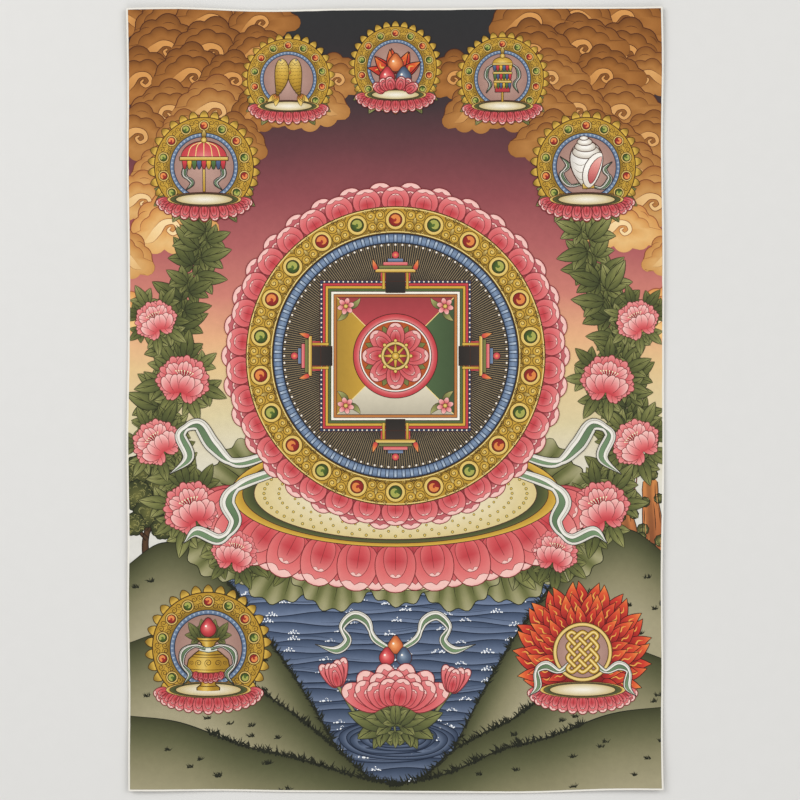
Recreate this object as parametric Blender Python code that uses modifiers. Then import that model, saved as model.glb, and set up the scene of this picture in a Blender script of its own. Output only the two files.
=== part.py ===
"""An unmounted painted canvas, lying face up: one sheet of primed cotton with a bare cut edge.

Metres, +Z up. The origin is under the middle of the sheet, and the picture's top is at +Y.
The middle of the sheet lies flat, over a tall triangle that narrows towards the top, and bears
on its underside's three lowest places at z = 0. Round it the sheet lifts a little, and its
corners and some stretches of edge lift further in slow, uneven swells, as stiff primed cloth
does once it is off its stretcher.
"""

from collections import namedtuple

import bmesh
import bpy
import numpy as np

# Driving dimensions.
WIDTH = 0.5606
HEIGHT = 0.8200
THICKNESS = 0.0012
RIM_LIFT = 0.0012
RIM_POWER = 0.75
CORNER_RADIUS = 0.0018
CORNER_STEPS = 3
COLUMNS = 28
ROWS = 40
MM = 0.001

# The flat area is a tall triangle. The sheet bears on its three corners, each given by its cells
# right of the middle and its row, and away from them it is higher by a hair.
FOOT_HALF = 11
FOOT_ROW = 3
TIP_ROW = 36
BEARINGS = ((-FOOT_HALF, FOOT_ROW), (FOOT_HALF, FOOT_ROW), (0, TIP_ROW))
BEARING_LIFT = 0.00003
BEARING_REACH = 0.025

# How far the triangle's sides and its foot bow inwards.
SIDE_BOW = 1.5
FOOT_BOW = 0.6

# How far each cut edge leaves its straight line, in mm. "turn" is the shift at the edge's far
# end (top or right), and minus that at its near end. Each wave adds rise * sin(cycles, phase).
Edge = namedtuple("Edge", "name turn")
EDGES = (
    Edge("left", -1.15),
    Edge("right", -0.47),
    Edge("bottom", 0.60),
    Edge("top", 0.98),
)
Wave = namedtuple("Wave", "edge cycles rise phase")
WAVES = (
    Wave("left", 1, 0.67, 164),
    Wave("left", 2, 0.31, -15),
    Wave("left", 3, 0.34, 119),
    Wave("left", 4, 0.26, -86),
    Wave("left", 5, 0.23, -139),
    Wave("right", 1, 0.88, -137),
    Wave("right", 2, 0.31, 105),
    Wave("right", 4, 0.40, -161),
    Wave("right", 5, 0.20, -172),
    Wave("bottom", 1, 1.44, 58),
    Wave("bottom", 2, 0.52, 103),
    Wave("bottom", 3, 0.33, -155),
    Wave("bottom", 4, 0.20, -137),
    Wave("top", 1, 0.81, 132),
    Wave("top", 2, 0.40, 39),
    Wave("top", 3, 0.57, -12),
    Wave("top", 4, 0.20, -77),
)

# The swells of the rim. "across" and "up" are a swell's centre, as shares of the sheet from its
# bottom left, "reach_x" and "reach_y" how far it runs, and "rise" its height, all in mm.
Swell = namedtuple("Swell", "place across up reach_x reach_y rise")
SWELLS = (
    Swell("top left corner", 0.000, 1.000, 150, 120, 3.4),
    Swell("top edge", 0.425, 1.000, 130, 45, 1.3),
    Swell("top right corner", 1.000, 1.000, 120, 150, 2.6),
    Swell("upper right edge", 1.000, 0.675, 50, 150, 1.6),
    Swell("lower right edge", 1.000, 0.290, 60, 170, 2.2),
    Swell("bottom right corner", 1.000, 0.000, 140, 110, 3.8),
    Swell("bottom edge", 0.550, 0.000, 120, 50, 1.5),
    Swell("bottom left corner", 0.000, 0.000, 110, 130, 2.9),
    Swell("lower left edge", 0.000, 0.350, 55, 160, 1.8),
    Swell("upper left edge", 0.000, 0.725, 45, 130, 1.2),
)


def edge_shift(name, along):
    """How far a cut edge leaves its straight line: a straight turn plus its slow sine waves.

    along runs from 0 to 1, left to right or bottom to top."""
    turn = next(edge.turn for edge in EDGES if edge.name == name)
    shift = turn * (2 * along - 1)
    for wave in WAVES:
        if wave.edge == name:
            shift = shift + wave.rise * np.sin(2 * np.pi * wave.cycles * along + np.radians(wave.phase))
    return shift * MM


def rim_shares(across, up):
    """How far into the rim a point is: 0 over the flat triangle, rising evenly to 1 at the cut edge.

    The triangle's half width falls from its foot to its tip as a power of the way left to climb,
    and its foot is higher in the middle than at its two ends, by a parabola."""
    foot, tip = FOOT_ROW / ROWS, TIP_ROW / ROWS
    half = 2 * FOOT_HALF / COLUMNS
    away = np.abs(2 * across - 1)
    climb = np.clip((up - foot) / (tip - foot), 0, 1)
    border = half * (1 - climb) ** SIDE_BOW
    to_side = np.clip((away - border) / (1 - border), 0, 1)
    floor = foot * (1 + FOOT_BOW * np.clip(1 - (away / half) ** 2, 0, 1))
    to_end = np.clip(np.maximum(1 - up / floor, (up - tip) / (1 - tip)), 0, 1)
    return to_side, to_end


def outlined(across, up):
    """The sheet's points in plan: a rectangle whose rim is drawn out to the four cut edges."""
    to_side, to_end = rim_shares(across, up)
    side_shift = np.where(across < 0.5, edge_shift("left", up), edge_shift("right", up))
    end_shift = np.where(up < 0.5, edge_shift("bottom", across), edge_shift("top", across))
    return WIDTH * (across - 0.5) + to_side * side_shift, HEIGHT * (up - 0.5) + to_end * end_shift


def lifted(across, up):
    """The height of the underside.

    The rim rises with a power of its share, by an even lift plus the swells. Each swell is
    rise * (1 - r^2)^2 inside its ellipse, r being 1 on it, and 0 outside. The lift off the
    bearings grows evenly with the distance from the nearest one, up to their reach."""
    to_side, to_end = rim_shares(across, up)
    rim = (1 - (1 - to_side) * (1 - to_end)) ** RIM_POWER
    height = np.full_like(rim, RIM_LIFT)
    for swell in SWELLS:
        from_x = (across - swell.across) * WIDTH / (swell.reach_x * MM)
        from_y = (up - swell.up) * HEIGHT / (swell.reach_y * MM)
        height += swell.rise * MM * np.clip(1 - from_x**2 - from_y**2, 0, 1) ** 2
    reach = np.full_like(rim, BEARING_REACH)
    for column, row in BEARINGS:
        from_x = (across - 0.5 - column / COLUMNS) * WIDTH
        from_y = (up - row / ROWS) * HEIGHT
        reach = np.minimum(reach, np.hypot(from_x, from_y))
    return rim * height + BEARING_LIFT * reach / BEARING_REACH


def clear_scene():
    for thing in list(bpy.data.objects):
        bpy.data.objects.remove(thing, do_unlink=True)


def canvas_material():
    material = bpy.data.materials.new("painted_canvas")
    material.use_nodes = True
    shader = material.node_tree.nodes["Principled BSDF"]
    shader.inputs["Base Color"].default_value = (0.21, 0.13, 0.095, 1)
    shader.inputs["Roughness"].default_value = 0.8
    shader.inputs["Metallic"].default_value = 0
    return material


def round_corners(mesh):
    """Cuts the sheet's four corner points back to a small quarter round."""
    bm = bmesh.new()
    bm.from_mesh(mesh)
    corners = [point for point in bm.verts if len(point.link_edges) == 2]
    bmesh.ops.bevel(
        bm,
        geom=corners,
        offset=CORNER_RADIUS,
        offset_type="OFFSET",
        segments=CORNER_STEPS,
        profile=0.5,
        affect="VERTICES",
    )
    bm.to_mesh(mesh)
    bm.free()


def make_canvas(collection):
    bpy.ops.mesh.primitive_grid_add(x_subdivisions=COLUMNS, y_subdivisions=ROWS, size=1)
    canvas = bpy.context.object
    canvas.name = canvas.data.name = "painted_canvas"
    for other in canvas.users_collection:
        other.objects.unlink(canvas)
    collection.objects.link(canvas)

    mesh = canvas.data
    points = np.empty(len(mesh.vertices) * 3)
    mesh.vertices.foreach_get("co", points)
    across, up, _ = points.reshape(-1, 3).T + 0.5
    x, y = outlined(across, up)
    z = lifted(across, up)
    x -= (x.min() + x.max()) / 2
    y -= (y.min() + y.max()) / 2
    mesh.vertices.foreach_set("co", np.stack([x, y, z], axis=1).ravel())
    round_corners(mesh)
    mesh.materials.append(canvas_material())
    mesh.shade_smooth()
    mesh.set_sharp_from_angle(angle=np.radians(40))

    solid = canvas.modifiers.new("thickness", "SOLIDIFY")
    solid.thickness = THICKNESS
    solid.offset = 1
    return canvas


def main():
    clear_scene()
    collection = bpy.data.collections.new("thangka_canvas")
    bpy.context.scene.collection.children.link(collection)
    make_canvas(collection)


main()
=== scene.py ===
import math

import bmesh
import bpy
import numpy as np
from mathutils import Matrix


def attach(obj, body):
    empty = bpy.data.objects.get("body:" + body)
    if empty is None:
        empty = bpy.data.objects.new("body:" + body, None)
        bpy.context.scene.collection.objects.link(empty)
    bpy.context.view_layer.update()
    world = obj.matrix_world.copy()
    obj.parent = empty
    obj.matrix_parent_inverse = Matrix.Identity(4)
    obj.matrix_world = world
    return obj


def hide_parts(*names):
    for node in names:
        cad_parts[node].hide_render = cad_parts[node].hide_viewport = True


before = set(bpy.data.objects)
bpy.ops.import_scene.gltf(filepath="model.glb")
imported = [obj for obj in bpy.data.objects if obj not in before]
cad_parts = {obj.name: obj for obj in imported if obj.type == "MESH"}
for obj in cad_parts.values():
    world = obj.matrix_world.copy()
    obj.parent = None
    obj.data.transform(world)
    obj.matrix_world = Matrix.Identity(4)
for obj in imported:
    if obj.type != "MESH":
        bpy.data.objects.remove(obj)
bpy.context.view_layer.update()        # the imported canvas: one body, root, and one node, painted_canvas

# A painted thangka canvas lying face up. Lengths are in mm, x to the picture's right and y to its
# top, with 0, 0 in the middle of the sheet. The cloth is one closed mesh, and the painting on it
# is films of paint, thinner than the cloth, laid over each other as the painter laid them.
mm = 0.001


# The sheet: its outline and how it lies.

sheet = dict(
    width=560.6,
    height=820.0,
    thickness=1.2,
    corner=1.8,           # radius of the cut corners
    bareEdge=1.9,         # width of the white primed edge that the paint leaves
    cell=4.7,             # mesh cell in the middle
    rimLift=1.2, rimPower=1.2,
    footHalf=220.3, footRow=61.5, tipRow=738.0,   # the flat triangle that the sheet bears on
    sideBow=1.5, footBow=0.6,
    # slow waves of each cut edge: turn at the far end, then (cycles, rise, phase in degrees)
    left=(-1.15, (1, 0.67, 164), (2, 0.31, -15), (3, 0.34, 119), (4, 0.26, -86), (5, 0.23, -139)),
    right=(-0.47, (1, 0.88, -137), (2, 0.31, 105), (4, 0.40, -161), (5, 0.20, -172)),
    bottom=(0.60, (1, 1.44, 58), (2, 0.52, 103), (3, 0.33, -155), (4, 0.20, -137)),
    top=(0.98, (1, 0.81, 132), (2, 0.40, 39), (3, 0.57, -12), (4, 0.20, -77)),
    # swells of the rim: centre as shares of the sheet, reach in x and y, rise
    swells=(
        (0.000, 1.000, 150, 120, 3.4), (0.425, 1.000, 130, 45, 1.3), (1.000, 1.000, 120, 150, 2.6),
        (1.000, 0.675, 50, 150, 1.6), (1.000, 0.290, 60, 170, 2.2), (1.000, 0.000, 140, 110, 3.8),
        (0.550, 0.000, 120, 50, 1.5), (0.000, 0.000, 110, 130, 2.9), (0.000, 0.350, 55, 160, 1.8),
        (0.000, 0.725, 45, 130, 1.2),
    ),
)


def edgeShift(edge, along):
    # A cut edge's distance from its straight line: a straight turn plus its sine waves.
    turn, *waves = sheet[edge]
    return turn * (2 * along - 1) + sum(
        rise * np.sin(2 * np.pi * cycles * along + np.radians(phase)) for cycles, rise, phase in waves)


def rimShares(across, up):
    # 0 over the flat triangle, rising evenly to 1 at the sides and at the two ends.
    foot, tip = sheet["footRow"] / sheet["height"], sheet["tipRow"] / sheet["height"]
    half = 2 * sheet["footHalf"] / sheet["width"]
    away = np.abs(2 * across - 1)
    border = half * (1 - np.clip((up - foot) / (tip - foot), 0, 1)) ** sheet["sideBow"]
    floor = foot * (1 + sheet["footBow"] * np.clip(1 - (away / half) ** 2, 0, 1))
    toSide = np.clip((away - border) / (1 - border), 0, 1)
    toEnd = np.clip(np.maximum(1 - up / floor, (up - tip) / (1 - tip)), 0, 1)
    return toSide, toEnd


def asCut(x, y):
    # From the plain rectangle to the cut sheet: its rim is drawn out to the wavy edges.
    across, up = x / sheet["width"] + 0.5, y / sheet["height"] + 0.5
    toSide, toEnd = rimShares(across, up)
    x = x + toSide * np.where(across < 0.5, edgeShift("left", up), edgeShift("right", up))
    y = y + toEnd * np.where(up < 0.5, edgeShift("bottom", across), edgeShift("top", across))
    return x, y


def liftAt(x, y):
    # Height of the underside: the rim's even lift plus the swells, each (1 - r^2)^2 in its ellipse,
    # all times a power of how far into the rim the point is.
    across, up = x / sheet["width"] + 0.5, y / sheet["height"] + 0.5
    toSide, toEnd = rimShares(across, up)
    height = np.full_like(across, sheet["rimLift"])
    for swellAcross, swellUp, reachX, reachY, rise in sheet["swells"]:
        fromX = (across - swellAcross) * sheet["width"] / reachX
        fromY = (up - swellUp) * sheet["height"] / reachY
        height += rise * np.clip(1 - fromX**2 - fromY**2, 0, 1) ** 2
    return height * (1 - (1 - toSide) * (1 - toEnd)) ** sheet["rimPower"]


def cutMiddle():
    # The middle of the cut outline, which the CAD puts at 0, 0.
    along = np.linspace(-0.5, 0.5, 401)
    sides = [asCut(np.full(401, s * sheet["width"]), along * sheet["height"])[0] for s in (-0.5, 0.5)]
    ends = [asCut(along * sheet["width"], np.full(401, s * sheet["height"]))[1] for s in (-0.5, 0.5)]
    return (sides[0].min() + sides[1].max()) / 2, (ends[0].min() + ends[1].max()) / 2


middleX, middleY = cutMiddle()


def settled(flat, above):
    # Points of the plain rectangle, n x 2, to where they lie in metres. above is the height over the
    # underside.
    x, y = asCut(flat[:, 0], flat[:, 1])
    z = liftAt(flat[:, 0], flat[:, 1]) + above
    return np.stack([x - middleX, y - middleY, z], 1) * mm


# Colours.

def srgb(colour):
    return np.array([int(colour[i:i + 2], 16) for i in (1, 3, 5)]) / 255


def linear(colour):
    # sRGB, as a hex string or as an array from 0 to 1, to the linear values that Blender takes.
    value = srgb(colour) if isinstance(colour, str) else np.asarray(colour)
    return np.where(value <= 0.04045, value / 12.92, ((value + 0.055) / 1.055) ** 2.4)


def shade(tones, t):
    # The colour at t from 0 to 1 along a list of tones, evenly spaced.
    stops = np.array([srgb(tone) if isinstance(tone, str) else tone for tone in tones])
    even = np.linspace(0, 1, len(stops))
    return np.stack([np.interp(t, even, stops[:, c]) for c in range(3)], -1)


# the pigments, each from its darkest tone to its palest, and its outline
coral = dict(deep="#B93A40", mid="#CC5356", pink="#DE8A88", pale="#EBBDB4", line="#7A2A2C")
gold = dict(dark="#7D5F1E", mid="#B48B2E", light="#D3AC49", pale="#E8CF85", line="#4B3414")
leafTone = dict(dark="#3D4327", mid="#5C6034", light="#83844B", pale="#ADA970", line="#2A2B19")
stoneBlue = dict(mid="#51637F", light="#7D90A8", pale="#B6C1CB", line="#1F2634")
silk = dict(white="#E9E5DA", shade="#BDB9AC", crease="#8E897C", fold="#7C9670", foldDark="#5C7453",
            line="#33302B")
seatTones = ["#EFE9DA", "#E3D9C0", "#D2BE84"]
pearlTones = ["#F2ECDF", "#D8CFBC"]


def pick(pigment, names):
    # Some tones of a pigment, as a list.
    return [pigment[name] for name in names.split()]


petalTones = pick(coral, "deep mid pink")
gilt = pick(gold, "mid pale")


def between(one, other, t):
    # A list of tones part of the way from one list to the other.
    return [srgb(a) * (1 - t) + srgb(b) * t for a, b in zip(one, other)]


def tinted(tone, share):
    # Lighter above 1, darker below.
    return np.clip((srgb(tone) if isinstance(tone, str) else tone) * share, 0, 1)


def toned(tones, share):
    return [tinted(tone, share) for tone in tones]


# Brushwork: each patch is a grid of points in mm with a colour and a rise at each.

def steps(count, bunched=0.0):
    # 0 to 1, evenly, or bunched towards both ends by a cosine.
    even = np.linspace(0, 1, count)
    return even + bunched * (0.5 - 0.5 * np.cos(np.pi * even) - even)


def patch(x, y, tone, rise=0.0):
    at = np.stack(np.broadcast_arrays(x, y), -1).astype(float)
    tone = np.broadcast_to(tone, at.shape[:2] + (3,))
    return dict(at=at, tone=tone, rise=np.broadcast_to(np.asarray(rise, float), at.shape[:2]))


def bell(u, root, point):
    # u^root (1 - u)^point, scaled to reach 1: blunt ends below 1, pointed ones above.
    peak = root / (root + point)
    return u**root * (1 - u) ** point / (peak**root * (1 - peak) ** point)


def blade(length, width, tones, root=0.5, point=0.5, bend=0, sway=0, rim=None, rimShare=0.6,
          rows=9, columns=5, rise=0.0):
    # A petal, leaf or flame. Its middle line turns evenly by bend degrees and swings by sway, and
    # its half width is a bell. The colour runs from root to tip and goes to rim at the two sides.
    u, v = steps(rows, 1), np.linspace(-1, 1, columns)
    turn = np.radians(bend * u + sway * np.sin(2 * np.pi * u))
    mid = (turn[1:] + turn[:-1]) / 2
    cx = np.concatenate([[0], np.cumsum(np.sin(mid) * np.diff(u))])[:, None] * length
    cy = np.concatenate([[0], np.cumsum(np.cos(mid) * np.diff(u))])[:, None] * length
    half = (bell(u, root, point) * width / 2)[:, None]
    tone = shade(tones, u)[:, None, :]
    if rim is not None:
        share = (rimShare * np.abs(v) ** 2)[None, :, None]
        tone = tone * (1 - share) + shade([rim, rim], 0.0) * share
    return patch(cx + v * half * np.cos(turn)[:, None], cy - v * half * np.sin(turn)[:, None], tone, rise)


def ring(inner, outer, tones, columns=48, rows=2, ripples=0, ripple=0.0, start=0, end=360, squash=1.0,
         rise=0.0):
    # A disc, ring or fan round 0, 0, from start to end degrees clockwise from the top. The outer
    # edge waves by ripple times its radius. The colour runs from the inner edge to the outer one.
    u, angle = np.linspace(0, 1, rows)[:, None], np.radians(np.linspace(start, end, columns + 1))
    far = outer * (1 + ripple * np.cos(ripples * angle))
    radius = inner + (far - inner) * u
    return patch(radius * np.sin(angle), squash * radius * np.cos(angle), shade(tones, u), rise)


def brush(path, width, tone, ends=(0.3, 0.3), closed=False, rise=0.02):
    # A brush line: a strip that stands off its path along the normals, thinner at its two ends.
    path = np.asarray(path, float)
    if closed:
        ahead = np.roll(path, -1, 0) - np.roll(path, 1, 0)
        path, ahead = np.vstack([path, path[:1]]), np.vstack([ahead, ahead[:1]])
        share = np.ones(len(path))
    else:
        ahead = np.gradient(path, axis=0)
        share = np.interp(steps(len(path)), (0, 0.3, 0.7, 1), (ends[0], 1, 1, ends[1]))
    ahead = ahead / np.maximum(np.linalg.norm(ahead, axis=1, keepdims=True), 1e-9)
    side = (share * width / 2)[:, None] * np.array([-1, 1])
    x = path[:, :1] + side * ahead[:, 1:]
    y = path[:, 1:] - side * ahead[:, :1]
    return patch(x, y, shade([tone, tone], 0.0), rise)


inkLine = "#43261C"       # the painter's outline: soot in madder
softInk = "#4A2A20"       # the same, thinner


def edges(shape, width=0.8, tone=softInk, rise=0.015, ends=(0.5, 0.5)):
    # Brush lines down the two long sides of a blade.
    return [brush(shape["at"][:, side], width, tone, ends, rise=rise + shape["rise"].max())
            for side in (0, -1)]


def rimmed(shape, width=0.8, tone=softInk):
    # The shape with a brush line round its outer edge, closed where the edge is.
    path, top = shape["at"][-1], 0.015 + shape["rise"].max()
    closed = np.allclose(path[0], path[-1])
    return [shape, brush(path[:-1] if closed else path, width, tone, closed=closed, rise=top)]


def curve(points, count=24):
    # A smooth path through a few points: the cubic of each stretch heeds both neighbours.
    p = np.asarray(points, float)
    p = np.vstack([2 * p[0] - p[1], p, 2 * p[-1] - p[-2]])
    t = np.linspace(0, len(p) - 3, count)
    i = np.minimum(t.astype(int), len(p) - 4)
    f = (t - i)[:, None]
    a, b, c, d = p[i], p[i + 1], p[i + 2], p[i + 3]
    return (2 * b + (c - a) * f + (2 * a - 5 * b + 4 * c - d) * f**2 + (3 * b - a - 3 * c + d) * f**3) / 2


def arc(radius, start, end, count=12, x=0.0, y=0.0):
    angle = np.radians(np.linspace(start, end, count))
    return np.stack([x + radius * np.sin(angle), y + radius * np.cos(angle)], 1)


def spiral(outer, inner, start, turns, count):
    # Turns inwards from outer to inner as its angle grows.
    t = np.linspace(0, 1, count)
    angle, radius = np.radians(start) + 2 * np.pi * turns * t, outer + (inner - outer) * t**0.8
    return np.stack([radius * np.sin(angle), radius * np.cos(angle)], 1)


# Places: rows of x, y, turn in degrees, size, flip, rise, and the tilt in x and y.

def spot(x=0, y=0, turn=0, size=1, flip=1, rise=0, tiltX=0, tiltY=0):
    return np.array([[x, y, turn, size, flip, rise, tiltX, tiltY]], float)


here = spot()


def places(*rows):
    # Several spots. Short rows are filled up with the plain values.
    return np.array([tuple(row) + tuple(here[0, len(row):]) for row in rows], float)


def around(count, radius, start=0.0, rise=0.0, tilt=0.0, turn=0.0):
    # Evenly round a circle, with each one's top pointing outwards, or turned from there. A tilt
    # lays each over the next, like the slats of a fan.
    angle = np.radians(start + np.arange(count) * 360 / count)
    made = np.tile(here, (count, 1))
    made[:, 0], made[:, 1] = radius * np.sin(angle), radius * np.cos(angle)
    made[:, 2], made[:, 5] = turn - np.degrees(angle), rise
    made[:, 6], made[:, 7] = tilt * np.cos(angle), -tilt * np.sin(angle)
    return made


def combined(outer, inner):
    # Every inner place carried by every outer one.
    o, i = outer[:, None, :], inner[None, :, :]
    turn = np.radians(o[..., 2])
    cos, sin = np.cos(turn), np.sin(turn)

    def carried(x, y):
        x = o[..., 4] * x
        return x * cos - y * sin, x * sin + y * cos

    made = np.empty(np.broadcast_shapes(o.shape, i.shape))
    dx, dy = carried(o[..., 3] * i[..., 0], o[..., 3] * i[..., 1])
    tiltX, tiltY = carried(i[..., 6], i[..., 7])
    made[..., 0], made[..., 1] = o[..., 0] + dx, o[..., 1] + dy
    made[..., 2] = o[..., 2] + o[..., 4] * i[..., 2]
    made[..., 3], made[..., 4] = o[..., 3] * i[..., 3], o[..., 4] * i[..., 4]
    made[..., 5] = o[..., 5] + i[..., 5] + o[..., 6] * dx + o[..., 7] * dy
    made[..., 6], made[..., 7] = o[..., 6] + tiltX, o[..., 7] + tiltY
    return made.reshape(-1, 8)


def put(motif, where=here):
    # A motif is a list of patches, each with its own places, or bare. This sets all of it at where.
    rows = [(item, here) if isinstance(item, dict) else item for item in motif]
    return [(shape, combined(where, own)) for shape, own in rows]


def mirrored(motif, rise=0.0, climb=0.0):
    # The motif and its mirror image in x = 0, both rising outwards by climb.
    return put(motif, places((0, 0, 0, 1, -1, rise, -climb), (0, 0, 0, 1, 1, rise, climb)))


def polar(radius, degrees):
    # x and y at a radius from 0, 0, clockwise from the top.
    return radius * math.sin(math.radians(degrees)), radius * math.cos(math.radians(degrees))


# Laying paint: patches and their places become one film of paint on the sheet.

def template(shape):
    # A patch's triangles, with the points that fall together, as at a tip, made one.
    at = shape["at"].reshape(-1, 2)
    rows, columns = shape["at"].shape[:2]
    index = np.arange(rows * columns).reshape(rows, columns)
    a, b, c, d = (q.ravel() for q in (index[:-1, :-1], index[:-1, 1:], index[1:, 1:], index[1:, :-1]))
    corners = np.concatenate([np.stack([a, b, c], 1), np.stack([a, c, d], 1)])
    _, first, own = np.unique(np.round(at, 4), axis=0, return_index=True, return_inverse=True)
    merged = own.ravel()[corners]
    real = (merged != np.roll(merged, -1, 1)).all(1)
    u, v = np.meshgrid(np.linspace(0, 1, rows), np.linspace(0, 1, columns), indexing="ij")
    flatMap = np.stack([u.ravel(), v.ravel()], 1)
    return dict(at=at[first], tone=shape["tone"].reshape(-1, 3)[first], rise=shape["rise"].ravel()[first],
                corners=merged[real], map=flatMap[corners[real]])


def meshOf(name, points, corner):
    # A mesh of faces. Each row of corner holds the numbers of one face's points.
    mesh = bpy.data.meshes.new(name)
    mesh.vertices.add(len(points))
    mesh.loops.add(corner.size)
    mesh.polygons.add(len(corner))
    mesh.loops.foreach_set("vertex_index", corner.ravel().astype(np.int32))
    mesh.polygons.foreach_set("loop_start", np.arange(0, corner.size, corner.shape[1], dtype=np.int32))
    mesh.vertices.foreach_set("co", points.ravel())
    return mesh


hair = 0.006              # mm that a print's place may lift it, so that no two lie exactly level


def film(name, prints, level, material, cut=False):
    # One mesh of all prints. Each patch has its own cell of the piece's UV map, so its copies share
    # their place and colour there. Where cut is set, what runs over the bare edge is cut off.
    shapes = {id(shape): template(shape) for shape, _ in prints}
    cells = math.ceil(math.sqrt(len(shapes)))
    cellOf = {key: divmod(n, cells) for n, key in enumerate(shapes)}
    flats, tones, rises, corners, maps, count = [], [], [], [], [], 0
    for shape, where in prints:
        made = shapes[id(shape)]
        x, y, turn, size, flip, rise, tiltX, tiltY = (where[:, n:n + 1] for n in range(8))
        cos, sin = np.cos(np.radians(turn)) * size, np.sin(np.radians(turn)) * size
        ownX, ownY = flip * made["at"][:, 0], made["at"][:, 1]
        dx, dy = ownX * cos - ownY * sin, ownX * sin + ownY * cos
        flats.append(np.stack([x + dx, y + dy], -1).reshape(-1, 2))
        lift = hair * np.mod(0.731 * x + 0.377 * y + 0.0531 * turn, 1)
        rises.append((rise + lift + made["rise"] + tiltX * dx + tiltY * dy).ravel())
        tones.append(np.tile(made["tone"], (len(where), 1)))
        copies = np.arange(len(where))[:, None, None] * len(made["at"]) + made["corners"] + count
        turned = np.where(flip[:, :, None] < 0, copies[:, :, ::-1], copies)
        corners.append(turned.reshape(-1, 3))
        cellMap = (made["map"] * 0.9 + 0.05 + np.array(cellOf[id(shape)])) / cells
        mapped = np.where(flip[:, :, None, None] < 0, cellMap[None, :, ::-1], cellMap[None])
        maps.append(mapped.reshape(-1, 2))
        count += len(where) * len(made["at"])
    points = np.column_stack([np.concatenate(flats), np.concatenate(rises)])
    mesh = meshOf(name, points, np.concatenate(corners))
    paint = mesh.color_attributes.new("paint", "FLOAT_COLOR", "POINT")
    colour = np.column_stack([linear(np.concatenate(tones)), np.ones(len(points))])
    paint.data.foreach_set("color", colour.ravel())
    mesh.uv_layers.new(name="OFBake").data.foreach_set("uv", np.concatenate(maps).ravel())
    mesh.update(calc_edges=True)
    if cut:
        cutAtEdge(mesh)
    points = np.empty(len(mesh.vertices) * 3)
    mesh.vertices.foreach_get("co", points)
    points = points.reshape(-1, 3)
    onSheet = settled(points[:, :2], points[:, 2] + sheet["thickness"] + level)
    mesh.vertices.foreach_set("co", onSheet.ravel())
    mesh.update()
    mesh.shade_smooth()
    low, high = points[:, 2].min(), points[:, 2].max()
    print(f"{name}: {len(mesh.polygons)} triangles, rises {low:.2f} to {high:.2f}")
    finished(name, mesh, material)


def cutAtEdge(mesh):
    # Cuts the film off along the four sides of the painted field.
    halfX, halfY = sheet["width"] / 2 - sheet["bareEdge"], sheet["height"] / 2 - sheet["bareEdge"]
    bm = bmesh.new()
    bm.from_mesh(mesh)
    for point, normal in (((halfX, 0, 0), (1, 0, 0)), ((-halfX, 0, 0), (-1, 0, 0)),
                          ((0, halfY, 0), (0, 1, 0)), ((0, -halfY, 0), (0, -1, 0))):
        everything = bm.verts[:] + bm.edges[:] + bm.faces[:]
        bmesh.ops.bisect_plane(bm, geom=everything, plane_co=point, plane_no=normal, clear_outer=True)
    bmesh.ops.triangulate(bm, faces=[face for face in bm.faces if len(face.verts) > 3])
    bm.to_mesh(mesh)
    bm.free()


def finished(name, mesh, material):
    piece = bpy.data.objects.new(name, mesh)
    bpy.context.scene.collection.objects.link(piece)
    mesh.materials.append(material)
    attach(piece, "root")
    return piece


# Materials.

def addNode(tree, kind, wires=None, **settings):
    # Adds a node. wires gives its inputs, each a socket to link or a plain value.
    made = tree.nodes.new("ShaderNode" + kind)
    for name, value in settings.items():
        setattr(made, name, value)
    for name, value in (wires or {}).items():
        if isinstance(value, bpy.types.NodeSocket):
            tree.links.new(value, made.inputs[name])
        else:
            made.inputs[name].default_value = value
    return made


def newMaterial(name):
    material = bpy.data.materials.new(name)
    material.use_nodes = True
    material.node_tree.nodes.remove(material.node_tree.nodes["Principled BSDF"])
    return material, material.node_tree, material.node_tree.nodes["Material Output"]


cloth = dict(
    thread=1.3,           # mm between threads. A primed canvas has 0.5 mm, drawn coarser to show
    weaveDepth=0.035,     # mm
    chalkDepth=0.05,      # mm, the scraped unevenness of the priming
)


def clothRelief(tree, coords):
    # The height of the primed cloth in metres: warp and weft threads filled with chalk, and the
    # slow unevenness of the scraping. All films read it too, because paint follows its ground.
    scale = 2 * math.pi / (cloth["thread"] * mm)
    axes = addNode(tree, "SeparateXYZ", {"Vector": coords})
    waves = []
    for axis in ("X", "Y"):
        angle = addNode(tree, "Math", {0: axes.outputs[axis], 1: scale}, operation="MULTIPLY")
        waves.append(addNode(tree, "Math", {0: angle.outputs[0]}, operation="SINE").outputs[0])
    weave = addNode(tree, "Math", {0: waves[0], 1: waves[1]}, operation="MULTIPLY")
    weave = addNode(tree, "Math", {0: weave.outputs[0], 1: cloth["weaveDepth"] * mm / 2},
                    operation="MULTIPLY")
    scraped = addNode(tree, "TexNoise", {"Vector": coords, "Scale": 90.0, "Detail": 3.0, "Roughness": 0.6})
    scraped = addNode(tree, "Math", {0: scraped.outputs["Fac"], 1: cloth["chalkDepth"] * mm},
                      operation="MULTIPLY")
    return addNode(tree, "Math", {0: weave.outputs[0], 1: scraped.outputs[0]}, operation="ADD").outputs[0]


def brushed(tree, coords, colour, mottle):
    # The colour, stronger and weaker by turns, as a loaded brush leaves it.
    noise = addNode(tree, "TexNoise", {"Vector": coords, "Scale": 140.0, "Detail": 4.0, "Roughness": 0.65})
    strength = addNode(tree, "MapRange", {
        "Value": noise.outputs["Fac"], "From Min": 0.25, "From Max": 0.75,
        "To Min": 1 - mottle, "To Max": 1 + mottle})
    scaled = addNode(tree, "VectorMath", {0: colour, "Scale": strength.outputs[0]}, operation="SCALE")
    return scaled.outputs[0]


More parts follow.
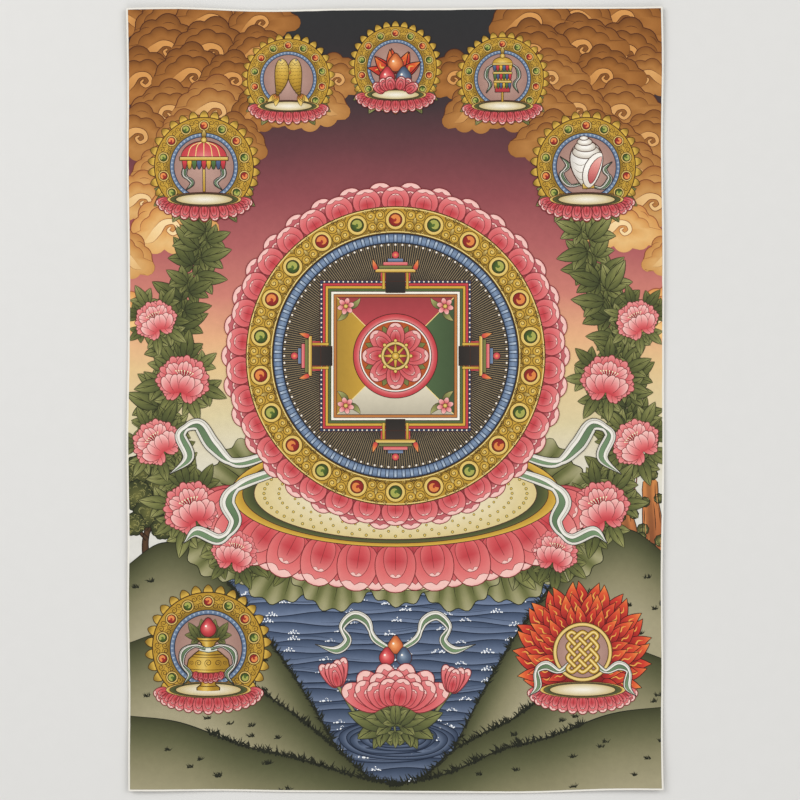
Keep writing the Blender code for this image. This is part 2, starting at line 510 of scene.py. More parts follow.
def mattSurface(tree, output, colour, dullness, relief, metallic=0.0):
    bump = addNode(tree, "Bump", {"Height": relief, "Distance": 1.0, "Strength": 0.8})
    surface = addNode(tree, "BsdfPrincipled", {
        "Base Color": colour, "Roughness": dullness, "Metallic": metallic, "IOR": 1.5,
        "Specular IOR Level": 0.25, "Normal": bump.outputs["Normal"]})
    tree.links.new(surface.outputs[0], output.inputs["Surface"])


def paintMaterial(name, grain, grainDepth, roughness, mottle, metallic=0.0):
    # Ground pigment bound in hide glue, brushed thin and left to dry: dead matt, a little uneven in
    # strength where the brush lifted, with the ground's relief showing through. grain is the size
    # of the pigment's clumps in mm, coarser than real so that it shows.
    material, tree, output = newMaterial(name)
    coords = addNode(tree, "TexCoord").outputs["Object"]
    paint = addNode(tree, "Attribute", attribute_name="paint").outputs["Color"]
    clumps = addNode(tree, "TexNoise", {"Vector": coords, "Scale": 1 / (grain * mm), "Detail": 2.0})
    dull = addNode(tree, "MapRange", {
        "Value": clumps.outputs["Fac"], "From Min": 0.3, "From Max": 0.7,
        "To Min": roughness - 0.06, "To Max": roughness + 0.06})
    grit = addNode(tree, "Math", {0: clumps.outputs["Fac"], 1: grainDepth * mm}, operation="MULTIPLY")
    relief = addNode(tree, "Math", {0: clothRelief(tree, coords), 1: grit.outputs[0]}, operation="ADD")
    mattSurface(tree, output, brushed(tree, coords, paint, mottle), dull.outputs[0], relief.outputs[0],
                metallic)
    return material


# smooth earths and soot, coarse and gritty stones, a fine and dense red, and powdered gold in glue
earthPaint = paintMaterial("ochreAndSootDistemper", 0.9, 0.012, 0.80, 0.05)
azuritePaint = paintMaterial("azuriteAndMalachiteDistemper", 1.4, 0.03, 0.86, 0.07)
vermilionPaint = paintMaterial("vermilionAndLacDistemper", 0.8, 0.008, 0.74, 0.04)
goldPaint = paintMaterial("shellGoldPaint", 0.7, 0.010, 0.50, 0.06, metallic=0.35)

ground = dict(
    # the sky and land washes from the bottom to the top of the sheet: height in mm, colour
    washes=(
        (-410, "#837C63"), (-330, "#6F6C4D"), (-205, "#5C5E40"), (-185, "#A9A593"), (-165, "#D3D1CA"),
        (-85, "#D6D2C4"), (-20, "#D3C59B"), (35, "#DBBB88"), (66, "#DDA87E"), (110, "#C57A6C"),
        (160, "#A95D5C"), (210, "#8A484C"), (262, "#643A3E"), (312, "#3D3032"), (372, "#2D2B2C"),
        (410, "#2B2C2D"),
    ),
    chalk="#E4E0D6",      # the bare primed edge
    cotton="#CFC4AB",     # the unprimed back, yellowed by its size
)


def canvasMaterial():
    # Cotton canvas, sized, primed with chalk in hide glue and scraped smooth, with the sky and land
    # washed on in distemper: matt and even. Its back and cut edge are bare, yellowish threads.
    material, tree, output = newMaterial("primedCottonCanvas")
    coords = addNode(tree, "TexCoord").outputs["Object"]
    axes = addNode(tree, "SeparateXYZ", {"Vector": coords})
    cloudy = addNode(tree, "TexNoise", {"Vector": coords, "Scale": 9.0, "Detail": 3.0})
    drift = addNode(tree, "Math", {0: cloudy.outputs["Fac"], 1: 0.5}, operation="SUBTRACT")
    drift = addNode(tree, "Math", {0: drift.outputs[0], 1: 0.03, 2: axes.outputs["Y"]},
                    operation="MULTIPLY_ADD")
    height = addNode(tree, "MapRange", {"Value": drift.outputs[0], "From Min": -0.41, "From Max": 0.41})
    sky = addNode(tree, "ValToRGB", {"Fac": height.outputs[0]})
    stops = sky.color_ramp.elements
    while len(stops) < len(ground["washes"]):
        stops.new(0.5)
    for stop, (y, colour) in zip(stops, ground["washes"]):
        stop.position = (y + 410) / 820
        stop.color = (*linear(colour), 1)
    washed = brushed(tree, coords, sky.outputs["Color"], 0.05)
    # the painted field ends unevenly a little inside the cut edge
    margin = addNode(tree, "Attribute", attribute_name="margin").outputs["Fac"]
    wobble = addNode(tree, "TexNoise", {"Vector": coords, "Scale": 70.0, "Detail": 2.0})
    reach = addNode(tree, "Math", {0: wobble.outputs["Fac"], 1: 0.9, 2: margin}, operation="MULTIPLY_ADD")
    painted = addNode(tree, "MapRange", {"Value": reach.outputs[0], "From Min": sheet["bareEdge"] + 0.25,
                                         "From Max": sheet["bareEdge"] + 0.55})
    face = addNode(tree, "Mix", {0: painted.outputs[0], 6: (*linear(ground["chalk"]), 1), 7: washed},
                   data_type="RGBA")
    # the back: plain cotton threads, light and dark by turns
    threads = addNode(tree, "TexNoise", {"Vector": coords, "Scale": 420.0, "Detail": 2.0})
    dark, pale = ((*linear(tinted(ground["cotton"], share)), 1) for share in (0.86, 1))
    cotton = addNode(tree, "Mix", {0: threads.outputs["Fac"], 6: dark, 7: pale}, data_type="RGBA")
    back = addNode(tree, "Attribute", attribute_name="back").outputs["Fac"]
    colour = addNode(tree, "Mix", {0: back, 6: face.outputs[2], 7: cotton.outputs[2]}, data_type="RGBA")
    # the weave stands out three times as far where it is bare
    bare = addNode(tree, "Math", {0: back, 1: 2.0, 2: 1.0}, operation="MULTIPLY_ADD")
    relief = addNode(tree, "Math", {0: clothRelief(tree, coords), 1: bare.outputs[0]}, operation="MULTIPLY")
    dull = addNode(tree, "MapRange", {"Value": cloudy.outputs["Fac"], "To Min": 0.78, "To Max": 0.9})
    mattSurface(tree, output, colour.outputs[2], dull.outputs[0], relief.outputs[0])
    return material


# The cloth.

def gridLines(length):
    # Places of the mesh lines from edge to edge: close at the bare edge, then even cells.
    near = np.array([0, 0.45, 0.9, 1.4, 1.9, 2.6, 4.2])
    count = round((length - 2 * near[-1]) / sheet["cell"])
    inner = np.linspace(near[-1], length - near[-1], count + 1)[1:-1]
    return np.concatenate([near, inner, length - near[::-1]]) - length / 2


def makeCloth(material):
    # A grid over the top, the same grid over the back, and a rounded strip between along the cut.
    xs, ys = gridLines(sheet["width"]), gridLines(sheet["height"])
    x, y = (a.ravel() for a in np.meshgrid(xs, ys, indexing="ij"))
    margin = np.minimum(sheet["width"] / 2 - np.abs(x), sheet["height"] / 2 - np.abs(y))
    # corners: within a radius of both sides, the square's rings become quarter circles
    inX, inY = (half / 2 - sheet["corner"] for half in (sheet["width"], sheet["height"]))
    dx, dy = np.abs(x) - inX, np.abs(y) - inY
    both = (dx > 0) & (dy > 0)
    tuck = np.where(both, np.maximum(dx, dy) / np.maximum(np.hypot(dx, dy), 1e-9), 1.0)
    x = np.where(both, np.sign(x) * (inX + dx * tuck), x)
    y = np.where(both, np.sign(y) * (inY + dy * tuck), y)
    nx, ny = len(xs), len(ys)
    index = np.arange(nx * ny).reshape(nx, ny)
    loop = np.concatenate([index[:-1, 0], index[-1, :-1], index[:0:-1, -1], index[0, :0:-1]])
    # the cut: three rings that bulge a little between the top's edge and the back's
    flat, thick = np.stack([x, y], 1), sheet["thickness"]
    outwards = flat[loop] / np.array([sheet["width"], sheet["height"]]) * 2
    outwards = np.where(np.abs(outwards) > 0.985, np.sign(outwards), 0)
    top = settled(flat, np.full(len(flat), thick))
    under = settled(flat, np.zeros(len(flat)))
    backs = np.arange(len(top)) + len(top)
    bulges = [settled(flat[loop] + outwards * bulge, np.full(len(loop), thick * share))
              for share, bulge in ((0.8, 0.12), (0.5, 0.18), (0.2, 0.12))]
    points = np.concatenate([top, under] + bulges)
    rings = [loop] + [2 * len(top) + n * len(loop) + np.arange(len(loop)) for n in range(3)] + [backs[loop]]
    a, b, c, d = (q.ravel() for q in (index[:-1, :-1], index[1:, :-1], index[1:, 1:], index[:-1, 1:]))
    faces = [np.stack([a, b, c, d], 1), np.stack([d, c, b, a], 1) + len(top)]
    for upper, lower in zip(rings[:-1], rings[1:]):
        faces.append(np.stack([upper, lower, np.roll(lower, -1), np.roll(upper, -1)], 1))
    mesh = meshOf("canvas_sheet", points, np.concatenate(faces))
    for name, parts in (("margin", (margin, margin, np.zeros(len(loop) * 3))),
                        ("back", (0 * margin, 0 * margin + 1, np.repeat((0.0, 0.5, 1.0), len(loop))))):
        mesh.attributes.new(name, "FLOAT", "POINT").data.foreach_set("value", np.concatenate(parts))
    # the map: the face on the left, the back on the right, the cut edge in a strip above both
    share = flat / np.array([sheet["width"], sheet["height"]]) + 0.5
    faceMap = share * np.array([0.62, 0.96])
    backMap = share * np.array([0.36, 0.96]) + np.array([0.63, 0])
    topFaces = faceMap[faces[0].ravel()]
    backFaces = backMap[faces[1].ravel() - len(top)]
    walk = np.arange(len(loop)) / len(loop)
    strips = []
    for n in range(4):
        low, high = 0.97 + 0.007 * n, 0.977 + 0.007 * n
        ahead = walk + 1 / len(loop)
        strips.append(np.stack([walk, low + 0 * walk, walk, high + 0 * walk,
                                ahead, high + 0 * walk, ahead, low + 0 * walk], 1).reshape(-1, 2))
    layer = mesh.uv_layers.new(name="OFBake")
    layer.data.foreach_set("uv", np.concatenate([topFaces, backFaces] + strips).ravel())
    mesh.update(calc_edges=True)
    mesh.shade_smooth()
    piece = finished("canvas_sheet", mesh, material)
    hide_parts("painted_canvas")
    print("canvas_sheet:", len(mesh.polygons), "quads")
    return piece


canvas = makeCloth(canvasMaterial())
print("cloth done")


# Shapes that several motifs share.

def strip(inner, outer, tones, columns=12, rows=2):
    # One side of a square frame: a trapezoid whose mitred ends meet the next side's.
    u, v = np.linspace(0, 1, rows)[:, None], np.linspace(-1, 1, columns)
    y = inner + (outer - inner) * u
    return patch(y * v, y + 0 * v, shade(tones, u))


def slab(width, low, high, tones, columns=4, rows=3):
    u, v = np.linspace(0, 1, rows)[:, None], np.linspace(-1, 1, columns)
    return patch(width / 2 * v + 0 * u, low + (high - low) * u + 0 * v, shade(tones, u))


def framed(shape, width=0.8, tone=inkLine):
    # The shape with brush lines along all four sides.
    at, top = shape["at"], 0.015 + shape["rise"].max()
    sides = at[:, 0], at[:, -1], at[0], at[-1]
    return [shape, *(brush(side, width, tone, (1, 1), rise=top) for side in sides)]


def dot(radius, tones, line=inkLine, width=0.6, columns=12, rise=0.0):
    body = ring(0, radius, tones, columns, 3, rise=rise)
    return rimmed(body, width, line)


def band(inner, outer, tones, columns=96, line=inkLine, width=0.8):
    body = ring(inner, outer, tones, columns, 3)
    return [*rimmed(body, width, line), brush(body["at"][0][:-1], width, line, closed=True)]


def lotusPetal(length, width, tones=petalTones):
    # A broad petal, its own smaller inner petal with a cleft line, and its tip turned over: the
    # pale cap follows the outline, and its lower border has two lobes.
    motif, v, tip, line = [], np.linspace(-1, 1, 7), coral["pale"], coral["line"]
    for share, slim, top, rise, hues in ((1.0, 1.0, 9, 0.0, tones),
                                         (0.70, 0.58, 10, 0.02, [tones[1], tones[0], tones[2]])):
        body = blade(length * share, width * slim, hues, 0.33, 0.44, rim=tones[-1], rimShare=0.45,
                     rows=13, columns=7, rise=rise)
        at = body["at"][top:].copy()
        at[0, :, 1] -= length * share * (0.060 * np.abs(np.sin(np.pi * v)) - 0.02 * (v == 0))
        capTones = shade([tip, tip, tones[-1]], steps(len(at)))[:, None, :]
        motif += [body, *edges(body, 0.9 * share, line, 0.010, (0.8, 1.0)),
                  patch(at[..., 0], at[..., 1], capTones, rise + 0.009),
                  brush(at[0], 0.6 * share, line, (0.4, 0.4), rise=rise + 0.018)]
    return [*motif, brush(body["at"][1:9, 3], 0.5, line, (0.4, 0.9), rise=rise + 0.010)]


def ribbon(path, widths, tones, rise=0.02, columns=3, side=None):
    # A band along a path. Its width runs through widths, its colour through tones, and goes to side
    # at its two edges.
    path = np.asarray(path, float)
    ahead = np.gradient(path, axis=0)
    ahead = ahead / np.maximum(np.linalg.norm(ahead, axis=1, keepdims=True), 1e-9)
    t, v = np.linspace(0, 1, len(path)), np.linspace(-1, 1, columns)
    half = np.interp(t, np.linspace(0, 1, len(widths)), widths)[:, None] / 2
    tone = shade(tones, t)[:, None, :]
    if side is not None:
        share = (np.abs(v) ** 2)[None, :, None] * 0.7
        tone = tone * (1 - share) + shade([side, side], 0.0) * share
    return patch(path[:, :1] + v * half * ahead[:, 1:], path[:, 1:] - v * half * ahead[:, :1], tone, rise)


def inked(shape, width=0.7, tone=inkLine, ends=(0.6, 0.6)):
    # The shape with brush lines down its two long sides.
    return [shape, *edges(shape, width, tone, 0.012, ends)]


def lobed(circles, angle):
    # How far the outermost circle reaches from 0, 0 at each angle, clockwise from the top: where
    # the ray leaves a circle, at the foot of its normal plus the half chord.
    x, y, radius = np.array(circles, float).T[:, :, None]
    along = x * np.sin(angle) + y * np.cos(angle)
    chord = radius**2 - (x**2 + y**2 - along**2)
    return np.where(chord > 0, along + np.sqrt(np.maximum(chord, 0)), 0).max(0)


def sideName(side):
    return "left" if side < 0 else "right"


# Clouds.

cloud = dict(
    # tones of the darkest heads: hollow, body, pale and curl, and of the palest
    deep=("#643A17", "#8E5926", "#A86F36", "#CC9150"),
    pale=("#CC8246", "#E0A862", "#ECC586", "#F4DCAA"),
    line=("#4A2413", "#9A5230"),
    tints=7,
    # a head's outline, and the smaller one of its front, as circles: x, y, radius
    lobes=((-21, 3, 11), (-13, 14, 10.5), (0, 20, 11), (13, 13, 10), (23, 4, 10), (31, -5, 9), (17, -9, 9),
           (2, -11, 10), (-14, -8, 10), (-27, -5, 8)),
    front=((-15, 3, 9), (-6, 10, 9), (6, 9, 9), (16, 2, 9), (32, -6, 9), (17, -10, 9), (2, -12, 10),
           (-14, -9, 10), (-28, -6, 8)),
    top=396, foot=48, step=(50, 31),
    outermost=(288, 266),       # x of a row's first head, and of those half way down
    jitter=(5, 4, 11, 0.17),    # of x, y, turn and size
    size=1.12,
    tilt=(0.0018, 0.0050),      # each head lies over the one above it like a roof tile
    arch=(272, 250), archFoot=60,     # the round-headed arch of open sky between the two banks
)


def cloudHead(tint):
    # A head of rounded lobes, deep under its lines and pale at its foot, about a pale curl.
    hollow, body, pale, curl = between(cloud["deep"], cloud["pale"], tint)
    line = shade(cloud["line"], tint)
    angle, u = np.radians(np.linspace(-180, 180, 61)), steps(6)[:, None]
    low = 0.5 - 0.5 * np.cos(angle)
    light = (np.interp(u, (0, 0.25, 0.62, 1), (0, 0.42, 0.75, 0.1)) * (1 - low)
             + np.interp(u, (0, 0.25, 0.55, 1), (0.15, 0.6, 1.0, 0.72)) * low)
    tone = shade([hollow, body, pale], light)
    motif = []
    for n, circles in enumerate((cloud["lobes"], cloud["front"])):
        far = lobed(circles, angle)
        shape = patch(u * far * np.sin(angle), u * far * np.cos(angle), tone, 0.018 * n)
        rim = shape["at"][-1]
        motif += [shape, brush(rim[11:50], 0.65, line, (0.1, 0.1), rise=0.03) if n
                  else brush(rim[:-1], 0.75, line, closed=True, rise=0.012)]
    for x, y, radius, start in ((-17, 9, 8.5, -62), (1, 14, 9.5, -38), (16, 9, 8, 0)):
        motif.append(brush(arc(radius, start, start + 74, 7, x, y), 0.5, line, (0.1, 0.1), rise=0.012))
    path = curve([(-24, -8.5), (-17, -6), (-10.5, -0.5), (-3.5, 5.2), (4.5, 4.6), (7.2, -1.2), (2.4, -5),
                  (-1.4, -1.6), (1.0, 0.8)], 34)
    hook = ribbon(path, (0.3, 6.4, 7.8, 5.6, 4.4, 3.8, 3.2, 2.6, 1.6), [pale, curl, curl, curl], 0.05)
    sides = hook["at"][7:, 0], hook["at"][:, 2]
    return [*motif, hook, *(brush(side, 0.55, line, (0.1, 0.8), rise=0.062) for side in sides)]


def cloudBank(side):
    # Heads in staggered rows over one upper corner, outside a round-headed arch of open sky.
    draw = np.random.default_rng(11 if side < 0 else 14)
    (stepX, stepY), (archX, archY), (tiltX, tiltY) = cloud["step"], cloud["arch"], cloud["tilt"]
    rows, tints = [], []
    for row, y in enumerate(np.arange(cloud["top"], cloud["foot"], -stepY)):
        first = cloud["outermost"][150 < y < 380] - stepX / 2 * (row % 2)
        for x in np.arange(first, 40, -stepX):
            inArch = (x / archX) ** 2 + ((y - cloud["archFoot"]) / archY) ** 2 < 1
            if inArch or x < 88 + 24 * math.sin(y / 19.0):
                continue
            jitter = draw.uniform(-1, 1, 5)
            moveX, moveY, turn, grow = jitter[:4] * cloud["jitter"]
            tints.append(np.clip((352 - y) / 235 + 0.16 * jitter[4], 0, 1))
            rows.append((side * (x + moveX), y + moveY, turn, cloud["size"] + grow,
                         1 if draw.random() < 0.55 else -1, 0.15, tiltX * side, tiltY))
    rows, last = np.array(rows), cloud["tints"] - 1
    kinds = np.round(np.array(tints) * last).astype(int)
    prints = []
    for kind in np.unique(kinds):
        prints += put(cloudHead(kind / last), rows[kinds == kind])
    film(f"cloud_bank_{sideName(side)}", prints, 0.1, earthPaint, cut=True)


cloudBank(-1)
cloudBank(1)
print("clouds done")


# Lake and hills.

lake = dict(
    top=-142, foot=-412, half=196, pitch=10.2, points=84,
    # slow sines of a wave line: rise, length, and drift from one line to the next
    waves=((1.9, 15.5, 2.4), (1.3, 34, -1.3)),
    tones=("#39475F", "#56657F", "#7886A0"),      # under a wave line, and down to the next one
    line="#1D2638",
    foam="#EDEFF0",
    tufts=7,
    whirl=(0, -352), rings=9, ringWidth=7.5, ringFlat=0.34,
)
hills = dict(
    # crest lines of the left side, from the far hill to the near bank: x, y. The right side has
    # their mirror images, each raised by its rightShift in its outer part, beyond x = 60 to 120
    crests=(
        ((-284, -176), (-246, -150), (-208, -158), (-172, -196), (-132, -252), (-92, -312), (-50, -384)),
        ((-284, -256), (-240, -244), (-196, -260), (-150, -298), (-100, -334), (-56, -370), (-14, -408)),
        ((-284, -330), (-225, -338), (-160, -362), (-100, -376), (-40, -394), (6, -403)),
    ),
    rightShift=(14, -16, 9),
    tones=("#383A22", "#56573A", "#827D5E", "#A0987A"),
    depth=84,
    tuft="#1F2115",
    grass=((240, 2.2, 5.5), (60, 4, 7)),      # strokes along a crest: how many, and sizes
    clumps=9,
)


def waveLine(n):
    # The nth wave line of the lake: a level with two slow sines that drift from line to line.
    x = np.linspace(-lake["half"], lake["half"], lake["points"])
    wave = sum(rise * np.sin(x / length + drift * n) for rise, length, drift in lake["waves"])
    return np.stack([x, lake["top"] - lake["pitch"] * n + wave], 1)


def foamTuft(draw):
    # A low heap of white dots with a few thrown up over it.
    fleck, motif = ring(0, 1, [lake["foam"]] * 2, 6, 2), []
    for _ in range(18):
        x = draw.uniform(-1, 1)
        y = draw.uniform(0, 1) ** 1.3 * (4.8 - 4.4 * abs(x))
        motif.append((fleck, spot(x * 6.6, y, size=draw.uniform(0.35, 0.85))))
    return motif


def makeLake():
    draw = np.random.default_rng(31)
    count = int((lake["top"] - lake["foot"]) / lake["pitch"])
    prints, u = [], np.linspace(0, 1, 4)[:, None]
    for n in range(count):
        upper, lower = waveLine(n), waveLine(n + 1)
        tone = shade(toned(lake["tones"], 1 - 0.20 * n / count), u**0.8)
        water = patch(upper[:, 0] + 0 * u, upper[:, 1] * (1 - u) + lower[:, 1] * u, tone)
        prints += put([water, brush(upper, 0.95, lake["line"], (0.5, 0.5))])
        # short lines that follow the wave under it
        for start in draw.integers(2, 66, 5):
            piece = lower[start:start + 13] + np.array([0, draw.uniform(2.0, 6.5)])
            prints += put([brush(piece, 0.45, tinted(lake["tones"][0], 0.85), (0.1, 0.1))])
    tufts, many = [foamTuft(draw) for _ in range(4)], lake["tufts"]
    for n in range(1, count):
        along = (np.arange(many) + draw.uniform(0.1, 0.9, many)) * lake["points"] / many
        at = waveLine(n)[np.clip(along, 0, lake["points"] - 1).astype(int)]
        spots = places(*((x, y + 0.5, 0, draw.uniform(0.7, 1.15), draw.choice([-1, 1]), 0.04)
                         for x, y in at))
        for k, tuft in enumerate(tufts):
            prints += put(tuft, spots[k::4])
    # the whirl round the lotus stalks: rings in perspective, each dark under the one above it
    (whirlX, whirlY), tones = lake["whirl"], toned(lake["tones"][::-1], 0.80)
    width, last = lake["ringWidth"], lake["rings"]
    for n in range(last, 0, -1):
        body = ring(width * (n - 1), width * n + 0.4, tones, 60, 3, 5, 0.014, squash=lake["ringFlat"])
        prints += put([body, brush(body["at"][-1][:-1], 0.9, lake["line"], closed=True, rise=0.01)],
                      spot(whirlX + 2.5 * math.sin(n * 1.9), whirlY - 0.5 * n, 3 * math.sin(n * 2.3),
                           rise=0.045 + 0.006 * (last - n)))
    film("lake", prints, 0.10, azuritePaint, cut=True)


def hairs(draw, path, count, low, high):
    # Short dark grass strokes that stand off a line, sized from low to high.
    along = draw.uniform(0, len(path) - 1.001, count)
    first = along.astype(int)
    rows = np.tile(spot(rise=0.03), (count, 1))
    rows[:, :2] = path[first] + (path[first + 1] - path[first]) * (along - first)[:, None]
    rows[:, 2], rows[:, 3] = draw.uniform(-75, 75, count), draw.uniform(low, high, count)
    return put([brush([(0, -0.4), (0.15, 0.5), (0, 1.4)], 0.26, hills["tuft"], (1, 0.1), rise=0.0)], rows)


def makeHills(side):
    draw = np.random.default_rng(41 if side < 0 else 42)
    crests, prints, u = [], [], steps(9)[:, None]
    for line, shift in zip(hills["crests"], hills["rightShift"]):
        smooth = curve(line, 60)
        x = np.linspace(smooth[0, 0], smooth[-1, 0], 60)
        y = np.interp(x, smooth[:, 0], smooth[:, 1])
        if side > 0:
            y = y + shift * np.clip((-60 - x) / 60, 0, 1)
        crests.append(np.stack([x, y], 1))
    for n, crest in enumerate(crests):
        floor = np.full(len(crest), -414.0)
        if n + 1 < len(crests):
            floor = np.interp(crest[:, 0], crests[n + 1][:, 0], crests[n + 1][:, 1]) - 5
        floor = np.minimum(floor, crest[:, 1] - 0.5)
        y = crest[:, 1] * (1 - u) + floor * u
        tone = shade(hills["tones"], np.clip((crest[:, 1] - y) / hills["depth"], 0, 1) ** 0.7)
        body = patch(-side * crest[:, 0] + 0 * u, y, tone)
        if side > 0:
            body = patch(body["at"][:, ::-1, 0], body["at"][:, ::-1, 1], body["tone"][:, ::-1])
        line = crest * np.array([-side, 1])
        motif = [body, brush(line, 1.3, hills["tuft"], (0.4, 0.6), rise=0.012)]
        for grass in hills["grass"]:
            motif += hairs(draw, line[18:], *grass)
        # clumps of grass on the open ground
        for _ in range(hills["clumps"]):
            x, v = draw.uniform(-278, -120 if n < 2 else -60), draw.uniform(0.25, 0.9)
            k = int(np.clip((x - crest[0, 0]) / (crest[-1, 0] - crest[0, 0]) * 59, 0, 59))
            at = np.array([-side * crest[k, 0], crest[k, 1] * (1 - v) + floor[k] * v])
            motif += hairs(draw, np.linspace(-3, 3, 9)[:, None] * np.array([1, 0.08]) + at, 16, 1.8, 3.4)
        prints += put(motif, spot(rise=0.05 * n))
    film(f"hills_{sideName(side)}", prints, 0.16, earthPaint, cut=True)


makeLake()
makeHills(-1)
makeHills(1)
print("lake and hills done")


# Rocks with bare twigs on the right, a leafy tree on the left.

crag = dict(
    # columns of rock: x, y of the foot, width, height
    columns=((268, -176, 24, 96), (243, -170, 22, 66), (226, -182, 17, 36), (258, -190, 34, 46)),
    tones=("#6B3A22", "#8E5230", "#A9683A", "#B5793F"), crack="#2B1B14", streak="#C98A50",
    # twigs between the columns
    twigs=(((238, -112), (230, -92), (233, -74), (226, -56)), ((231, -94), (222, -84), (219, -70)),
           ((233, -76), (241, -64), (240, -50)), ((246, -106), (252, -82), (246, -66))),
    twig="#6B3A2A",
    bush=("#8C8650", "#5A5B32", "#3A3E22"), ink="#1E2014", moss="#A09A5E",
    # limbs of the tree: points and widths
    limbs=((((-258, -182), (-262, -150), (-256, -118), (-262, -92)), (9, 6.5, 5, 3)),
           (((-260, -146), (-272, -132), (-274, -112)), (4.5, 3, 1.5)),
           (((-259, -138), (-248, -122), (-244, -100)), (4.5, 3, 1.5))),
    bark=("#4B3423", "#6B4C33"), barkSide="#2E2117", barkLine="#1E1610",
    # lobes of the tree's crown: x, y, radius
    crown=((-266, -74, 17), (-247, -90, 15), (-270, -100, 16), (-240, -112, 13), (-258, -118, 16),
           (-274, -130, 12), (-244, -134, 12)),
    crownTones=("#6E6C3A", "#4A4D2A", "#30351F"), leaf="#8F8B52",
)


def mossBush(draw, radius, tones, strokes):
    # A rounded clump: a scalloped disc with short light leaf strokes that fan out over it.
    body = ring(0, radius, tones, 28, 4, ripples=9, ripple=0.06)
    motif = rimmed(body, 0.7, crag["ink"])
    for n in range(strokes):
        a, out = 360 * n / strokes + draw.uniform(-12, 12), radius * draw.uniform(0.2, 0.72)
        tone = crag["moss"] if n % 3 else crag["ink"]
        motif.append((brush(arc(radius * 0.24, -70, 70, 6), 0.5, tone, (0.3, 0.3), rise=0.015),
                      spot(*polar(out, a), -a)))
    return motif


def rockColumn(draw, width, height):
    # An upright rock: a ragged outline, darker at its foot, streaked down its length.
    u, v = np.linspace(0, 1, 12)[:, None], np.linspace(-1, 1, 7)
    half = width / 2 * (1.0 - 0.42 * u**1.4) * (1 + 0.10 * np.repeat(draw.uniform(-1, 1, (6, 1)), 2, 0))
    x, y = half * v + 2.0 * np.sin(5 * u), height * u * (1 - 0.06 * v**2)
    tone = shade(crag["tones"], 0.15 + 0.75 * u) * (1 - 0.16 * np.cos(5 * v + 0.8))[None, :, None]
    motif = inked(patch(x, y, tone), 0.8, crag["crack"], (1, 1))
    for n in range(11):
        start, side = draw.uniform(0.02, 0.7), draw.uniform(-0.85, 0.85)
        run = np.linspace(start, start + draw.uniform(0.12, 0.3), 6)
        x = side * np.interp(run, u[:, 0], half[:, 0]) + 2.0 * np.sin(5 * run)
        tone = crag["crack"] if n % 3 else crag["streak"]
        motif.append(brush(np.stack([x, height * run], 1), 0.75, tone, (0.2, 0.2), rise=0.012))
    return motif


def makeRocks():
    draw = np.random.default_rng(61)
    prints = []
    for points in crag["twigs"]:
        prints += put([brush(curve(points, 16), 1.4, crag["twig"], (1, 0.15), rise=0.0)])
    for n, (x, y, width, height) in enumerate(crag["columns"]):
        motif = rockColumn(draw, width, height)
        for share, side in ((1.02, 0), (0.72, -1), (0.76, 1), (0.42, -1), (0.3, 1)):
            bush = mossBush(draw, draw.uniform(4.6, 6.6), crag["bush"], 7)
            motif += put(bush, spot(side * width * 0.42 * (1.1 - 0.5 * share), share * height, rise=0.012))
        prints += put(motif, spot(x, y, rise=0.022 * n))
    film("rocks", prints, 0.02, earthPaint, cut=True)


def makeTree():
    draw = np.random.default_rng(62)
    prints = []
    for points, widths in crag["limbs"]:
        limb = ribbon(curve(points, 20), widths, crag["bark"], 0.0, 3, side=crag["barkSide"])
        prints += put(inked(limb, 0.7, crag["barkLine"], (1, 0.6)))
    for n, (x, y, radius) in enumerate(crag["crown"]):
        bush = mossBush(draw, radius, crag["crownTones"], 5)
        rows = np.tile(spot(rise=0.018), (int(radius * 3.2), 1))
        angle = draw.uniform(0, 2 * np.pi, len(rows))
        out = radius * 0.92 * np.sqrt(draw.uniform(0, 1, len(rows)))
        rows[:, 0], rows[:, 1] = out * np.sin(angle), out * np.cos(angle)
        rows[:, 2] = draw.uniform(-50, 50, len(rows))
        leaves = put([brush(arc(1.5, -80, 80, 5), 0.5, crag["leaf"], (0.3, 0.3), rise=0.0)], rows)
        prints += put(bush + leaves, spot(x, y, rise=0.02 + 0.03 * n))
    film("tree", prints, 0.02, azuritePaint, cut=True)


makeRocks()
makeTree()
print("rocks and tree done")


# The lotus seat under the mandala, on its leaves.

seat = dict(
    centre=(0, -112), reachX=172, reachY=62, top=0.325,
    petals=13, petalLength=50, petalWidth=43,
    # the left leaves from the outside in: x, y of the stalk, turn, size
    leaves=((-128, -112, 92, 1.05), (-150, -126, 122, 0.95), (-104, -138, 145, 0.98),
            (-58, -146, 166, 0.92)),
)


def lotusLeaf():
    # A round, wavy leaf seen from above: ribs fan out from its stalk, light between dark veins.
    angle, ribs = np.radians(np.linspace(-82, 82, 67)), 22
    u, flat = steps(7)[:, None], 0.12
    wave = 1 + 0.035 * np.cos(angle * ribs) + 0.05 * np.cos(angle * 5 + 0.6)
    radius = 78 * wave * u * (1 - flat * np.sin(angle) ** 2)
    light = np.clip(0.15 + 0.75 * u**1.5 * (0.35 + 0.65 * (0.5 + 0.5 * np.cos(angle * ribs))), 0, 1)
    motif = rimmed(patch(radius * np.sin(angle), radius * np.cos(angle),
                         shade([*pick(leafTone, "dark mid"), "#8F8C62", "#ADA784"], light)),
                   1.0, leafTone["line"])
    for k in range(-4, 5):
        a = (2 * k + 1) * np.pi / ribs
        if abs(a) < np.radians(80):
            swing = a + 0.05 * np.sin(np.linspace(0, 3, 8)) * (1 if k >= 0 else -1)
            reach = np.linspace(12, 70, 8) * (1 - flat * math.sin(a) ** 2)
            path = np.stack([reach * np.sin(swing), reach * np.cos(swing)], 1)
            motif.append(brush(path, 0.9, leafTone["line"], (1, 0.2), rise=0.015))
    return motif


